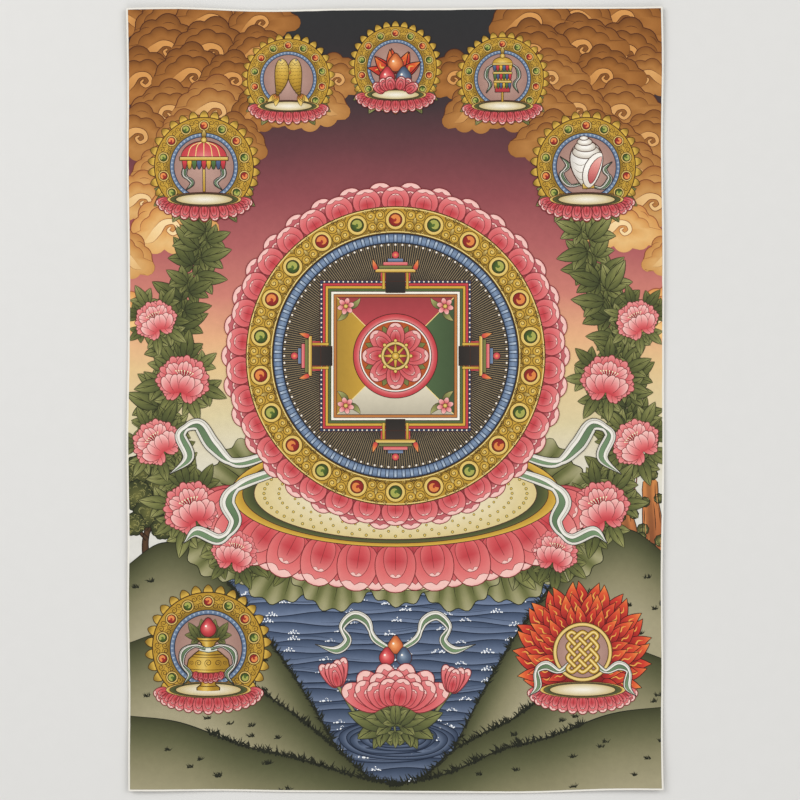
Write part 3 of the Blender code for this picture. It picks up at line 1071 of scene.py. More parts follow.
def lipFold():
    # A turned-over piece of leaf edge: cream, with fine green ticks.
    fold = blade(34, 13, ["#D9CFA6", "#E6DDB9", "#CFC496"], 0.6, 0.6, 16, rim="#A79E6E", rows=9)
    ticks = [brush([a, (a + b) / 2, b], 0.7, leafTone["mid"], (0.9, 0.2), rise=0.015)
             for a, b in zip(fold["at"][1:-1, 0], fold["at"][1:-1, 0] * 0.45 + fold["at"][1:-1, 4] * 0.55)]
    return [*inked(fold, 0.7, leafTone["line"]), *ticks]


def makeSeat():
    t = seat
    (seatX, seatY), reachX, reachY = t["centre"], t["reachX"], t["reachY"]
    leaf, fold, prints = lotusLeaf(), lipFold(), []
    for n, (x, y, turn, size) in enumerate(t["leaves"]):
        prints += put(leaf, places((x, y, turn, size, 1, 0.03 * n),
                                   (-x, y, -turn, size, -1, 0.03 * n + 0.012)))
    prints += put(leaf, spot(y=-142, turn=180, size=0.9, rise=0.14))
    for x, turn in (-150, -58), (-92, -70), (-36, -82):
        y = seatY - reachY * math.sqrt(1 - (x / reachX) ** 2) - 22
        prints += put(fold, places((x, y, turn, 1, 1, 0.16), (-x, y, -turn, 1, -1, 0.16)))
    film("lotus_leaves", prints, 0.18, azuritePaint)
    front = lotusPetal(t["petalLength"], t["petalWidth"], [coral["deep"], "#D0595A", "#DE8A84"])
    back = lotusPetal(t["petalLength"] - 2, t["petalWidth"] * 0.8, ["#9E3038", "#B9464B", "#CE6F6C"])
    prints = []
    for motif, count, first, rise in (back, t["petals"] + 1, 96, 0.07), (front, t["petals"], 101, 0.20):
        angle = np.radians(np.linspace(first, 360 - first, count))
        x = seatX + (reachX - 12) * np.sin(angle)
        y = seatY + (reachY - 8) * np.cos(angle) + 14
        lean = np.degrees(np.arctan2(np.sin(angle) / reachX * 110, np.cos(angle)))
        # each leans over its outer neighbour, and the middle one lies over both of its own
        rows = [(a, b, -c, 1, 1 if c < 180 else -1, rise, 0.003 * np.sign(round(a)), 0)
                for a, b, c in zip(x, y, lean % 360)]
        prints += put(motif, places(*rows))
    for low, high, tones in ((0.93, 1.0, pick(gold, "mid light")), (0.86, 0.93, pick(leafTone, "dark mid")),
                             (0.0, 0.86, seatTones)):
        body = ring(reachX * low, reachX * high, tones, 84, 3 if low else 12, squash=t["top"], rise=0.29)
        prints += put(rimmed(body), spot(seatX, seatY + 14))
    # the seed head: rings of seeds, seen as flat as the disc
    seed = dot(1.5, [gold["pale"], gold["light"], leafTone["mid"]], leafTone["mid"], 0.45, 8)
    for n, share in enumerate((0.80, 0.71, 0.62, 0.53)):
        turn = np.linspace(0, 2 * np.pi, 56 - 6 * n, endpoint=False) + 0.06 * n
        rows = np.tile(spot(seatX, seatY + 14, size=1 - 0.08 * n, rise=0.31), (len(turn), 1))
        rows[:, 0] += reachX * share * np.sin(turn)
        rows[:, 1] += reachX * share * t["top"] * np.cos(turn)
        prints += put(seed, rows)
    film("lotus_seat", prints, 0.34, vermilionPaint)


makeSeat()
print("lotus seat done")


# The mandala: rings, a square palace with four gates, and a wheel at its heart.

mandala = dict(
    centre=(0, 46), size=0.92,
    petals=34, petalFoot=166, petalLength=27, petalWidth=32,
    scrollInner=140, scrollOuter=170, scrolls=22,
    scrollEyes=(("#7E2320", "#A5342B", "#DE8646"), ("#35451F", "#5C7332", "#A7A854")),
    tickInner=129, tickOuter=139, ticks=90,
    field="#2B2927", ray="#9C8763", rays=300,
    wall=86, floor=67,
    wallColours=("#2F3A52", "#B93A40", "#C9A03C", "#4E5F38", "#E7E1D2", "#B0703A"),
    floors=("#B5454A", "#4E6340", "#D9CFB6", "#C49A3A"),     # top, right, bottom, left
    core=48,
    level=0.84,
)
atCentre = places((*mandala["centre"], 0, mandala["size"]))


def mandalaPetals():
    m = mandala
    back = lotusPetal(m["petalLength"] + 5, m["petalWidth"], ["#8E2F38", "#A8414A", "#C77374"])
    front = lotusPetal(m["petalLength"], m["petalWidth"])
    prints = put(back, around(m["petals"], m["petalFoot"], 180 / m["petals"], tilt=0.002))
    prints += put(front, around(m["petals"], m["petalFoot"], 0, rise=0.12, tilt=0.002))
    film("mandala_petal_ring", put(prints, atCentre), m["level"], vermilionPaint)


def scrollUnit(eye):
    # A gold medallion with a comma in it. eye holds the tones of its well and of the comma.
    line = gold["line"]
    disc = ring(0, 11.5, pick(gold, "dark mid pale light"), 24, 5)
    well = ring(0, 7.6, [eye[1], eye[0]], 20, 3, rise=0.02)
    comma = brush(arc(3.6, -70, 210, 14, 0, 0.4), 4.6, eye[2], (1, 0.15), rise=0.04)
    return [*rimmed(disc, 0.9, line), *rimmed(well, 0.7, line), comma,
            brush(comma["at"][:, 0], 0.4, line, rise=0.05)]


def scrollFill():
    # What fills the band between two medallions: whorls back to back, beads and a small leaf.
    line, motif = gold["line"], []
    for x, y, size, start in ((5.4, 6.3, 5.6, -60), (5.2, -6.2, 5.2, 130), (11.2, 12.0, 2.7, 0),
                              (10.6, -12.0, 2.5, 180), (2.2, 12.9, 2.0, 60), (2.1, -12.9, 1.9, 240)):
        for flip in (1, -1):
            bead = ring(0, size, pick(gold, "pale light mid"), 16, 3)
            path = spiral(size * 0.84, size * 0.12, start, 1.35, 20)
            whirl = brush(path, 0.8, line, (0.6, 0.6), rise=0.02)
            motif += put([bead, brush(bead["at"][-1][:-1], 0.65, line, closed=True, rise=0.012), whirl],
                         spot(flip * x, y, flip=flip, rise=0.004 * (size > 3)))
    bud = blade(9, 4.2, pick(gold, "dark pale"), 0.6, 0.9, rows=7, columns=3, rise=0.03)
    return motif + put(inked(bud, 0.5, line), spot(y=-4.5))


def mandalaBand():
    m = mandala
    inner, outer, half = m["scrollInner"], m["scrollOuter"], m["scrolls"] // 2
    middle = (inner + outer) / 2
    prints = put(band(inner, outer, pick(gold, "dark mid light mid"), 120, gold["line"], 1.0))
    for n, eye in enumerate(m["scrollEyes"]):
        prints += put(scrollUnit(eye), around(half, middle, n * 180 / half, rise=0.03))
    prints += put(scrollFill(), around(m["scrolls"], middle, 180 / m["scrolls"], rise=0.03))
    for radius in (outer - 1.4, inner + 1.4):
        prints += put([brush(arc(radius, 0, 357, 120), 1.1, gold["pale"], closed=True, rise=0.05)])
    film("mandala_scroll_band", put(prints, atCentre), m["level"] + 0.20, goldPaint)


def mandalaField():
    m = mandala
    prints = put([ring(0, m["tickInner"] + 0.5, [m["field"], m["field"], "#34302B"], 96, 10)])
    ray = brush([(0, 0), (0, 20), (0, 42)], 0.55, m["ray"], (0.3, 1.0), rise=0.02)
    prints += put([ray], around(m["rays"], m["tickInner"] - 43))
    prints += put(band(m["tickInner"], m["tickOuter"], pick(stoneBlue, "mid light mid"), 120,
                       stoneBlue["line"], 0.9))
    tick = brush([(0, 0.4), (0, 5), (0, 9.6)], 0.7, stoneBlue["line"], (1, 1), rise=0.02)
    pale = slab(2.2, 1.6, 8.4, pick(stoneBlue, "light pale"), 2, 2)
    prints += put([(tick, places((-1.9, 0), (1.9, 0))), (pale, spot(rise=0.015))],
                  around(m["ticks"], m["tickInner"]))
    prints += put(dot(1.5, pearlTones, inkLine, 0.5, 8), around(100, m["tickInner"] - 2.4, rise=0.03))
    film("mandala_ray_field", put(prints, atCentre), m["level"] + 0.12, azuritePaint)


def gateMotif():
    # A stepped gate that stands out of the wall: posts, three roofs and a jewel.
    foot, motif = mandala["wall"], []
    for width, low, high, tones in ((34, -1, 9, pick(coral, "deep mid")),
                                    (22, -14, 9, ["#26231F", "#3A2F2A"]), (46, 9, 13, gilt),
                                    (38, 13, 17, pick(leafTone, "mid light")),
                                    (28, 17, 21, pick(coral, "mid pink")),
                                    (18, 21, 25, pick(stoneBlue, "mid light"))):
        body = slab(width, foot + low, foot + high, tones, 5, 3)
        motif += put(framed(body, 0.7), spot(rise=0.012 * len(motif) / 5))
    gem = dot(4.2, ["#F0A05A", coral["mid"], coral["deep"]], inkLine, 0.7)
    motif += put(gem, spot(y=foot + 29, rise=0.1))
    post = slab(3, foot - 10, foot + 9, pick(gold, "light mid"), 2, 4)
    lick = blade(13, 5.5, [coral["deep"], "#D9703F", "#EDB061"], 0.4, 1.2, sway=0.7, rows=8, columns=3)
    for flip in (1, -1):
        motif += put(framed(post, 0.5), spot(flip * 13.5, rise=0.09))
        motif += put([lick, *edges(lick, 0.55)],
                     spot(flip * 22, foot + 12, flip * -18, flip=flip, rise=0.1))
    return motif


def mandalaPalace():
    m = mandala
    prints, width = [], (m["wall"] - m["floor"]) / len(m["wallColours"])
    for n, colour in enumerate(m["wallColours"]):
        outer = m["wall"] - n * width
        side = strip(outer - width, outer, [*toned([colour, colour], 1.0), tinted(colour, 1.12)], 16, 3)
        line = brush(side["at"][-1], 0.75, inkLine, (1, 1), rise=0.02)
        prints += put([side, line], around(4, 0, rise=0.002 * n))
    row = places(*((x, m["wall"] - width / 2, 0, 1, 1, 0.02) for x in np.arange(-81, 82, 5.4)))
    prints += put(put(dot(1.2, pearlTones, inkLine, 0.4, 7), row), around(4, 0))
    for n, colour in enumerate(m["floors"]):
        floor = strip(0, m["floor"] - 0.2, [tinted(colour, 1.15), colour, tinted(colour, 0.82)], 14, 8)
        prints += put([floor, brush(floor["at"][:, 0], 0.9, gold["pale"], (1, 1)),
                       brush(floor["at"][-1], 0.75, inkLine, (1, 1), rise=0.022)], spot(turn=-90 * n))
    # a flower with two curls in each corner of the floor
    petal = blade(8.5, 6, pick(coral, "deep pink pale"), 0.5, 0.5, rows=7, columns=3)
    corner = put(put([petal, *edges(petal, 0.5)], around(6, 1.2, rise=0.03, tilt=0.004)))
    corner += put(dot(2.6, pick(gold, "pale mid"), inkLine, 0.5, rise=0.06))
    prints += put(corner, around(4, 80, 45, rise=0.03))
    sprig = blade(17, 7, pick(leafTone, "dark light pale"), 0.5, 1.0, bend=50)
    both = put([sprig, *edges(sprig, 0.55)], places((2, 0, -62, 1, 1), (-2, 0, 62, 1, -1)))
    prints += put(both, around(4, 76, 45, rise=0.02, turn=180))
    prints += put(gateMotif(), around(4, 0, rise=0.03))
    film("mandala_palace", put(prints, atCentre), m["level"] + 0.2, vermilionPaint)


def mandalaCore():
    core = mandala["core"]
    prints = put(band(core - 7, core, pick(coral, "pink mid deep"), 72))
    prints += put([brush(arc(core - 8.2, 0, 355, 72), 1.4, "#F0EAE0", closed=True, rise=0.03)])
    prints += put([ring(0, core - 8, ["#F2D2A4", "#E09A58", "#C4642F", "#A94F27"], 72, 7)])
    under = blade(25, 12, pick(leafTone, "mid mid light"), 0.4, 0.8)
    prints += put([under, *edges(under, 0.6, leafTone["line"], ends=(0.0, 0.6))],
                  around(8, 12, 22.5, rise=0.02))
    prints += put(lotusPetal(27, 21), around(8, 11, 0, rise=0.10, tilt=0.0035))
    # the wheel: rim, hub, eight spokes with knobs
    rim = band(12.5, 16.5, pick(gold, "dark pale mid"), 48, gold["line"])
    prints += put([ring(0, 13, [coral["deep"], "#8E2F38"], 36, 3), *rim], spot(rise=0.20))
    spoke = blade(14, 3.4, pick(gold, "pale light mid"), 0.25, 0.5, rows=7, columns=3)
    prints += put([spoke, *edges(spoke, 0.5, gold["line"])], around(8, 0, 0, rise=0.24))
    prints += put(dot(2.0, pick(gold, "pale light"), gold["line"], 0.5), around(8, 17.5, 0, rise=0.27))
    prints += put(dot(4.4, pick(gold, "pale light mid"), gold["line"], 0.7), spot(rise=0.28))
    film("mandala_core", put(prints, atCentre), mandala["level"] + 0.3, goldPaint)


mandalaPetals()
mandalaBand()
mandalaField()
mandalaPalace()
mandalaCore()
print("mandala done")


# Peony garlands at the two sides.

garland = dict(
    # the left stem from foot to top, and the flowers on it: x, y, turn, size
    stem=((-96, -176), (-168, -150), (-222, -92), (-244, -20), (-232, 60), (-214, 128), (-196, 176)),
    flowers=((-214, -112, 20, 1.08), (-250, -44, 40, 0.92), (-222, 22, -10, 1.0), (-252, 84, 25, 0.8),
             (-168, -158, -15, 0.86)),
    leafEvery=19,
    level=0.12,
)


def leaflet(length, width, tones, bend=0):
    # A pointed lobe of a leaf, light at its tip, with a dark rib and dark side veins.
    line = leafTone["line"]
    body = blade(length, width, tones, 0.62, 0.95, bend, rim=leafTone["dark"], rimShare=0.5, rows=10)
    rib = brush(body["at"][:-1, 2], 0.7, line, (1, 0.2), rise=0.012)
    veins = []
    for row in (2, 4, 6):
        for column in (1, 3):
            start, end = body["at"][row, 2], body["at"][row + 2, column]
            path = [start, (start + end) / 2 + (0.2, 0.2), end]
            veins.append(brush(path, 0.35, line, (0.9, 0.1), rise=0.01))
    return [body, *edges(body, 0.6, line, 0.010), rib, *veins]


def leafSpray(tint):
    # A peony leaf: five pointed lobes from one stalk, the outer ones curled back, the middle longest.
    tones = between(pick(leafTone, "dark mid light"), pick(leafTone, "mid light pale"), tint)
    low, high = leaflet(17, 10, tones, 44), leaflet(24, 12.5, tones, 30)
    motif = put(low, places((0, 3, -66, 1, 1, 0.0), (0, 3, 66, 1, -1, 0.022)))
    motif += put(high, places((0, 5, -29, 1, 1, 0.044), (0, 5, 29, 1, -1, 0.066)))
    return motif + put(leaflet(32, 14.5, tones), spot(y=4, rise=0.09))


def frill(length, width, tones, folds=3):
    # A ruffled petal: narrow at its root, its far edge in rounded lobes, with creases down to them.
    u, v = np.linspace(0, 1, 6)[:, None], np.linspace(-1, 1, 6 * folds + 1)[None, :]
    half = width / 2 * (0.34 + 0.66 * np.sin(np.pi * 0.56 * u) ** 0.9)
    lobes = np.abs(np.cos(np.pi * folds * (v + 1) / 2 + np.pi / 2)) ** 0.6
    y = length * u * (1 - 0.30 * v**2 + 0.10 * u * (lobes - 0.5))
    body = patch(half * v * (1 - 0.10 * u * v**2), y, shade(tones, u**0.9 + 0 * v))
    outline = np.vstack([body["at"][1:, 0], body["at"][-1, 1:-1], body["at"][1:, -1][::-1]])
    motif = [body, brush(outline, 0.7, coral["line"], (0.6, 0.6), rise=0.010)]
    for n in range(1, folds):
        motif.append(brush(body["at"][2:, 6 * n][::-1], 0.5, coral["line"], (1, 0.0), rise=0.010))
    return motif


def peony(tint):
    # Seen from a little in front: ruffled petals behind, a dark heart with stamens, and a cup before it.
    deep, mid, pink, pale = between(pick(coral, "deep mid pink pale"),
                                    [coral["mid"], "#D66C6A", "#E59D98", "#F0CDC4"], tint)
    motif = []
    behind, side = frill(25, 23, [deep, deep, mid, pink]), frill(23, 20, [deep, mid, mid, pink])
    for n, a in enumerate((-104, 104, -70, 70, -34, 34, 0)):
        motif += put(behind if abs(a) < 60 else side, spot(0.05 * a, -1, -a, rise=0.022 * n))
    inner = frill(18, 17, [deep, mid, pink, pale])
    for n, a in enumerate((-48, 48, 0)):
        motif += put(inner, spot(0.08 * a, turn=-a, rise=0.156 + 0.022 * n))
    motif += put(dot(6.5, ["#7C2028", "#94282F", "#A5343A"], coral["line"], 0.5, 18),
                 spot(y=2.5, rise=0.225))
    stamen = [brush([(0, 0), (0.3, 2.4), (0, 4.6)], 0.5, "#E9E0C8", (0.6, 0.9), rise=0.0),
              *put([ring(0, 0.85, ["#F4ECD6", "#E3CF9A"], 7, 2)], spot(y=5.0, rise=0.008))]
    for a in (-62, -42, -22, 0, 22, 42, 62):
        motif += put(stamen, spot(0.09 * a, 3.4, -a * 0.7, rise=0.238))
    for a in (-118, 118, 158, -158):
        motif += put(side, spot(0.03 * a, -5, -a, 0.86, rise=0.24 + 0.0002 * (a + 120)))
    cup = frill(21, 19, [deep, mid, pink, pale], 2)
    for n, a in enumerate((-46, 46, -17, 17)):
        motif += put(cup, spot(0.10 * a, -15, -a, 1 if n < 2 else 0.93, rise=0.31 + 0.022 * n))
    return motif


def garlandSide(side):
    g, name = garland, sideName(side)
    draw = np.random.default_rng(21 if side < 0 else 22)
    stem = curve(g["stem"], 90) * np.array([-side, 1])
    stalk = brush(stem, 3.0, leafTone["mid"], (1, 0.4), rise=0)
    prints = put([stalk, *(brush(stalk["at"][:, n], 0.6, leafTone["line"]) for n in (0, 1))])
    step = np.linalg.norm(np.diff(stem, axis=0), axis=1)
    along = np.concatenate([[0], np.cumsum(step)])
    marks = np.arange(6, along[-1], g["leafEvery"] / 2)
    x, y = np.interp(marks, along, stem[:, 0]), np.interp(marks, along, stem[:, 1])
    ahead = np.degrees(np.arctan2(-np.gradient(x), np.gradient(y)))
    rows = []
    for n in range(len(marks)):
        swing = (62 if n % 2 else -62) + draw.uniform(-22, 22)
        rows.append((x[n], y[n], ahead[n] + swing, draw.uniform(0.8, 1.15), 1 if n % 2 else -1,
                     0.02 + 0.02 * (n % 8)))
    # seven leaves behind each flower
    for flowerX, flowerY, turn, size in g["flowers"]:
        for n in range(7):
            angle = turn + n * 51 + draw.uniform(-14, 14)
            outX, outY = polar(17 * size, angle)
            rows.append((-side * flowerX - outX, flowerY + outY, angle, draw.uniform(0.75, 1.0) * size, 1,
                         0.2 + 0.012 * n))
    rows = places(*rows)
    kinds = draw.integers(0, 3, len(rows))
    prints += [entry for n in range(3) for entry in put(leafSpray(0.4 * n), rows[kinds == n])]
    film(f"garland_leaves_{name}", prints, g["level"], azuritePaint, cut=True)
    blooms = places(*((-side * flowerX, flowerY, turn, size, 1, 0.02 * n)
                      for n, (flowerX, flowerY, turn, size) in enumerate(g["flowers"])))
    prints = put(peony(0.0), blooms[::2]) + put(peony(0.45), blooms[1::2])
    film(f"garland_peonies_{name}", prints, g["level"] + 0.42, vermilionPaint, cut=True)


garlandSide(-1)
garlandSide(1)
print("garlands done")


# Silks, flames, jewels and small seats that the emblems share.

def scarf(points, widths, count):
    # A white silk band that turns over as it goes: pinched where it turns, and its green lining
    # shows as a long lens on every stretch between two turns.
    t = np.linspace(0, 1, count)
    width = np.interp(t, np.linspace(0, 1, len(widths)), widths)
    spread = np.abs(np.cos(np.pi * 2.5 * t))
    body = ribbon(curve(points, count), width * (0.52 + 0.48 * spread**0.7), pick(silk, "white white"),
                  0.02, 7, side=silk["shade"])
    side = body["at"][:, 4] * 0.6 + body["at"][:, 3] * 0.4
    lining = ribbon(side, width * 0.42 * spread**0.8, pick(silk, "fold foldDark fold"), 0.035)
    crease = brush(body["at"][2:-2, 1], 0.5, silk["crease"], (0.1, 0.1), rise=0.035)
    return [*inked(body, 0.7, silk["line"], (1, 1)), *inked(lining, 0.45, silk["line"], (0.3, 0.3)), crease]


def flameLick(length, width, hot=0.0):
    # A tongue of flame that swings to and fro, deep red with a gilt curl in it.
    tones = between(["#7A1717", "#A32622", "#C4392A", "#DA6A38"],
                    ["#8F1F1D", "#B8352B", "#D75A30", "#E99A4A"], hot)
    body = blade(length, width, tones, 0.42, 1.15, bend=18, sway=0.75, rows=11)
    path = curve([(x, length * y) for x, y in ((-1, 0.12), (1.6, 0.3), (-0.4, 0.46), (1.8, 0.62))], 9)
    return [*inked(body, 0.75, "#3F0F10"), brush(path, 1.5, "#DFA04A", (0.3, 0.2), rise=0.016)]


licks = [flameLick(27, 15, hot) for hot in (0.0, 0.45, 0.9)]


def jewel(tones, size=1.0):
    # A drop-shaped jewel, lit from its upper left.
    angle, u = np.radians(np.linspace(-180, 180, 33)), np.linspace(0, 1, 5)[:, None]
    far = 6.2 * (1 + 0.42 * np.exp(-(angle / 0.42) ** 2))
    x, y = -1.4 * (1 - u) + u * far * np.sin(angle), 1.6 * (1 - u) + u * far * np.cos(angle)
    glint = dot(0.9 * size, ["#F6EFE2", "#F6EFE2"], tones[0], 0.1, 8)
    return [*rimmed(patch(x * size, y * size, shade(tones, u)), 0.7),
            *put(glint, spot(-1.7 * size, 2.2 * size, rise=0.03))]


jewelTones = dict(orange=("#F2B37A", "#D98049", "#A9502A"), red=("#EE9A92", "#CF4E50", "#98282F"),
                  blue=("#9AA8B8", "#5B6B80", "#37435A"))


def smallSeat(reach=31, petals=13, length=13.5, width=9.5):
    # A little lotus seat seen from a bit above: narrow petals hang from a gilt and a green rim.
    prints, petal, last = [], lotusPetal(length, width), petals - 1
    for n in range(petals):
        acrossUnit, upUnit = polar(1, 98 + 164 * n / last)
        lean = math.degrees(math.atan2(acrossUnit * 0.75, upUnit))
        size = 0.86 + 0.14 * (1 - abs(n / last - 0.5) * 2)
        prints += put(petal, spot(reach * acrossUnit, 0.17 * reach * upUnit + 4, -lean, size, rise=0.08,
                                  tiltX=0.004 * np.sign(round(acrossUnit, 3))))
    for low, high, tones in ((0.95, 1.04, gilt), (0.80, 0.95, pick(leafTone, "dark mid")),
                             (0.0, 0.80, ["#EFE9DA", "#DFD3B4", "#C3AE74"])):
        body = ring(reach * low, reach * high, tones, 40, 3, squash=0.19, rise=0.15)
        prints += put(rimmed(body, 0.6), spot(y=4.5))
    return prints


# The emblems: a parasol, a pair of fish, three jewels, a banner, a conch, a vase and a knot.

def tongues(count, width, length, colours):
    # A valance: a row of hanging tongues in turning colours, from the middle of its top edge.
    prints, step = [], width / count
    for n in range(count):
        tone = colours[n % len(colours)]
        body = blade(length, step * 1.06, [tinted(tone, 1.25), tone, tinted(tone, 0.8)], 0.12, 0.42, rows=7)
        prints += put(inked(body, 0.5), spot((n + 0.5) * step - width / 2, turn=180, rise=0.004 * n))
    return prints


valance = ("#B93A40", "#C9A03C", "#4E6B3A", "#4A5C7C")


def finial(y):
    tip = blade(6.5, 3.6, pick(gold, "dark pale"), 0.4, 1.0, rows=7, columns=3)
    return (put(inked(tip, 0.45, gold["line"]), spot(y=y + 2))
            + put(dot(2.3, pick(gold, "pale mid"), gold["line"], 0.5), spot(y=y, rise=0.03)))


def pole(low, high):
    return put(framed(slab(1.9, low, high, gilt, 3, 6), 0.45, gold["line"]))


def parasol():
    prints = pole(-20, 8)
    prints += mirrored(scarf([(3, 5), (12, 1), (15, -7), (9, -13), (14, -19)], (1, 3.4, 4.2, 3.6, 0.4), 26),
                       0.01)
    prints += put(tongues(9, 33, 8.5, valance), spot(y=5.5, rise=0.06))
    dome = ring(0, 17.5, pick(coral, "pink mid deep"), 30, 5, start=-90, end=90, squash=0.74, rise=0.11)
    ribs = [brush(curve([(0, 12.9), (x * 0.75, 10.0 - abs(x) * 0.09), (x, 0.3)], 9), 0.6, gold["pale"],
                  (0.4, 1), rise=0.12) for x in (-12.5, -6.5, 0.01, 6.5, 12.5)]
    prints += put([*rimmed(dome), *ribs], spot(y=5.8))
    prints += put(framed(slab(37, -1.6, 1.2, gilt, 9, 3), 0.6, gold["line"]), spot(y=5.5, rise=0.13))
    return prints + put(finial(19.6), spot(rise=0.13))


def fish():
    # Nose up, belly inwards: a scaly gilt body with fins and a forked tail.
    line, finTones = gold["line"], ["#B4502E", gold["light"], gold["pale"]]
    body = blade(36, 13, pick(gold, "dark mid light pale"), 0.95, 0.55, 34, rows=17, columns=9,
                 rim=gold["dark"], rimShare=0.5, rise=0.03)
    at, prints = body["at"], []
    for turn, length in (-152, 11), (-196, 11), (-172, 8):
        fin = blade(length, 5.2, finTones, 0.5, 0.8, rows=7, columns=3)
        prints += put(inked(fin, 0.5, line), spot(y=2, turn=turn))
    for row, side, turn in (6, 0, -52), (9, 0, -30), (7, 8, 62):
        fin = blade(8, 4.2, finTones, 0.5, 0.8, rows=7, columns=3)
        prints += put(inked(fin, 0.45, line), spot(*at[row, side], turn))
    prints += put(inked(body, 0.7, line))
    scale = brush(arc(1.35, 105, 255, 6), 0.32, line, (0.3, 0.3), rise=0.045)
    prints += put([scale], places(*((*at[row, column], -34 * row / 17)
                                    for row in range(3, 13) for column in range(1 + row % 2, 8, 2))))
    prints += put([brush(np.array([at[13, 1], at[12, 4], at[13, 7]]), 0.6, line, rise=0.046)])
    return prints + put(dot(0.95, ["#1E1A16", "#F3ECDC"], line, 0.3, 8), spot(*at[14, 5], rise=0.05))


def twoFish():
    one = put(fish(), spot(11, -17, 24))
    return put(one, places((0, 0), (0, 0, 0, 1, -1, 0.09)))


def threeJewels():
    prints = []
    for n in range(9):
        odd, a = n % 2, (n - 4) * 19
        prints += put(flameLick(21 - 0.045 * abs(a), 8, odd),
                      spot(polar(6, a)[0], 1, -a * 0.85, flip=1 if odd else -1, rise=0.04 * odd))
    for x, y, key, rise in (0, 9, "orange", 0.10), (-6.6, -1.5, "red", 0.15), (6.6, -1.5, "blue", 0.16):
        prints += put(jewel(jewelTones[key]), spot(x, y, rise=rise))
    petal = lotusPetal(12, 9)
    for n, a in enumerate((-72, -40, 40, 72, -18, 18)):
        x, y = polar(9, a)[0], -13.5 + polar(2, a)[1]
        prints += put(petal, spot(x, y, -a * 0.8, 0.9, rise=0.21 + 0.03 * n))
    return put(prints, spot(y=-8, size=1.15))


def banner():
    prints = pole(-22, 18)
    prints += mirrored(scarf([(6, 13), (13, 9), (15, 1), (11, -6), (15, -14)], (1, 3.2, 4, 3.4, 0.4), 26),
                       0.01)
    for n, (y, width) in enumerate(((-8, 15.5), (0, 16.5), (8, 17.5))):
        drum = slab(width - 2, y - 5, y + 5, [tinted(valance[n], 0.9), tinted(valance[n], 1.2)], 5, 4)
        brim = slab(width + 1, y + 3.4, y + 5.4, gilt, 5, 2)
        prints += put(framed(drum, 0.6), spot(rise=0.03))
        prints += put(tongues(6, width, 6.5, valance[n + 1:] + valance[:n]), spot(y=y + 4.4, rise=0.05))
        prints += put(framed(brim, 0.5, gold["line"]), spot(rise=0.085))
    dome = ring(0, 9, pick(gold, "pale light mid"), 24, 4, start=-90, end=90, squash=0.6, rise=0.09)
    prints += put(rimmed(dome, 0.7, gold["line"]), spot(y=13.4))
    return prints + put(finial(20), spot(rise=0.1))


def conch():
    # A shell wound about its top, wide in the middle, with a rosy mouth, a gilt collar and a scarf.
    prints = []
    for points in (((-3, -14), (-13, -15), (-19, -7), (-14, 0), (-20, 7)),
                   ((2, -15), (12, -17), (18, -10), (14, -3), (20, 3))):
        prints += put(scarf(points, (1, 4, 4.6, 4, 0.4), 26))
    body = blade(37, 25, ["#C9BFAE", "#EFEAE0", "#F7F4EE", "#E6DED0"], 0.8, 0.5, rim="#A0968A",
                 rimShare=0.5, rows=17, columns=9, rise=0.05)
    prints += put(inked(body, 0.8), spot(y=-18))
    for n, (y, size) in enumerate(((10.5, 10.6), (14.6, 8.2), (18.2, 5.8), (21.0, 3.4))):
        whorl = ring(0, size, ["#F8F5EE", "#EFE9DE", "#B9AE9E"], 28, 4, squash=0.5, rise=0.075 + 0.02 * n)
        prints += put(rimmed(whorl, 0.6), spot(-0.6 * n, y))
    lip = blade(29, 13, ["#D9CFC0", "#F6F2EA", "#EFE8DC"], 0.55, 0.6, 34, rows=12, rise=0.155)
    mouth = blade(23, 7.2, ["#A84A4C", "#D8837C", "#EDB9AC"], 0.6, 0.7, 34, rows=10, rise=0.18)
    prints += put(inked(lip, 0.65), spot(1.5, -17, -4)) + put(inked(mouth, 0.5), spot(3.2, -14, -6))
    for n in range(4):
        path = curve([(-10.5 + n, 3 - 5 * n), (-5, 0.2 - 5.4 * n), (0.5, 1.6 - 5.6 * n)], 10)
        prints += put([brush(path, 0.45, "#8E8474", (0.2, 0.2), rise=0.07)])
    collar = framed(slab(9, -2, 2, gilt, 4, 3), 0.5, gold["line"])
    return prints + put(collar, spot(1.5, -15.5, 4, rise=0.1))


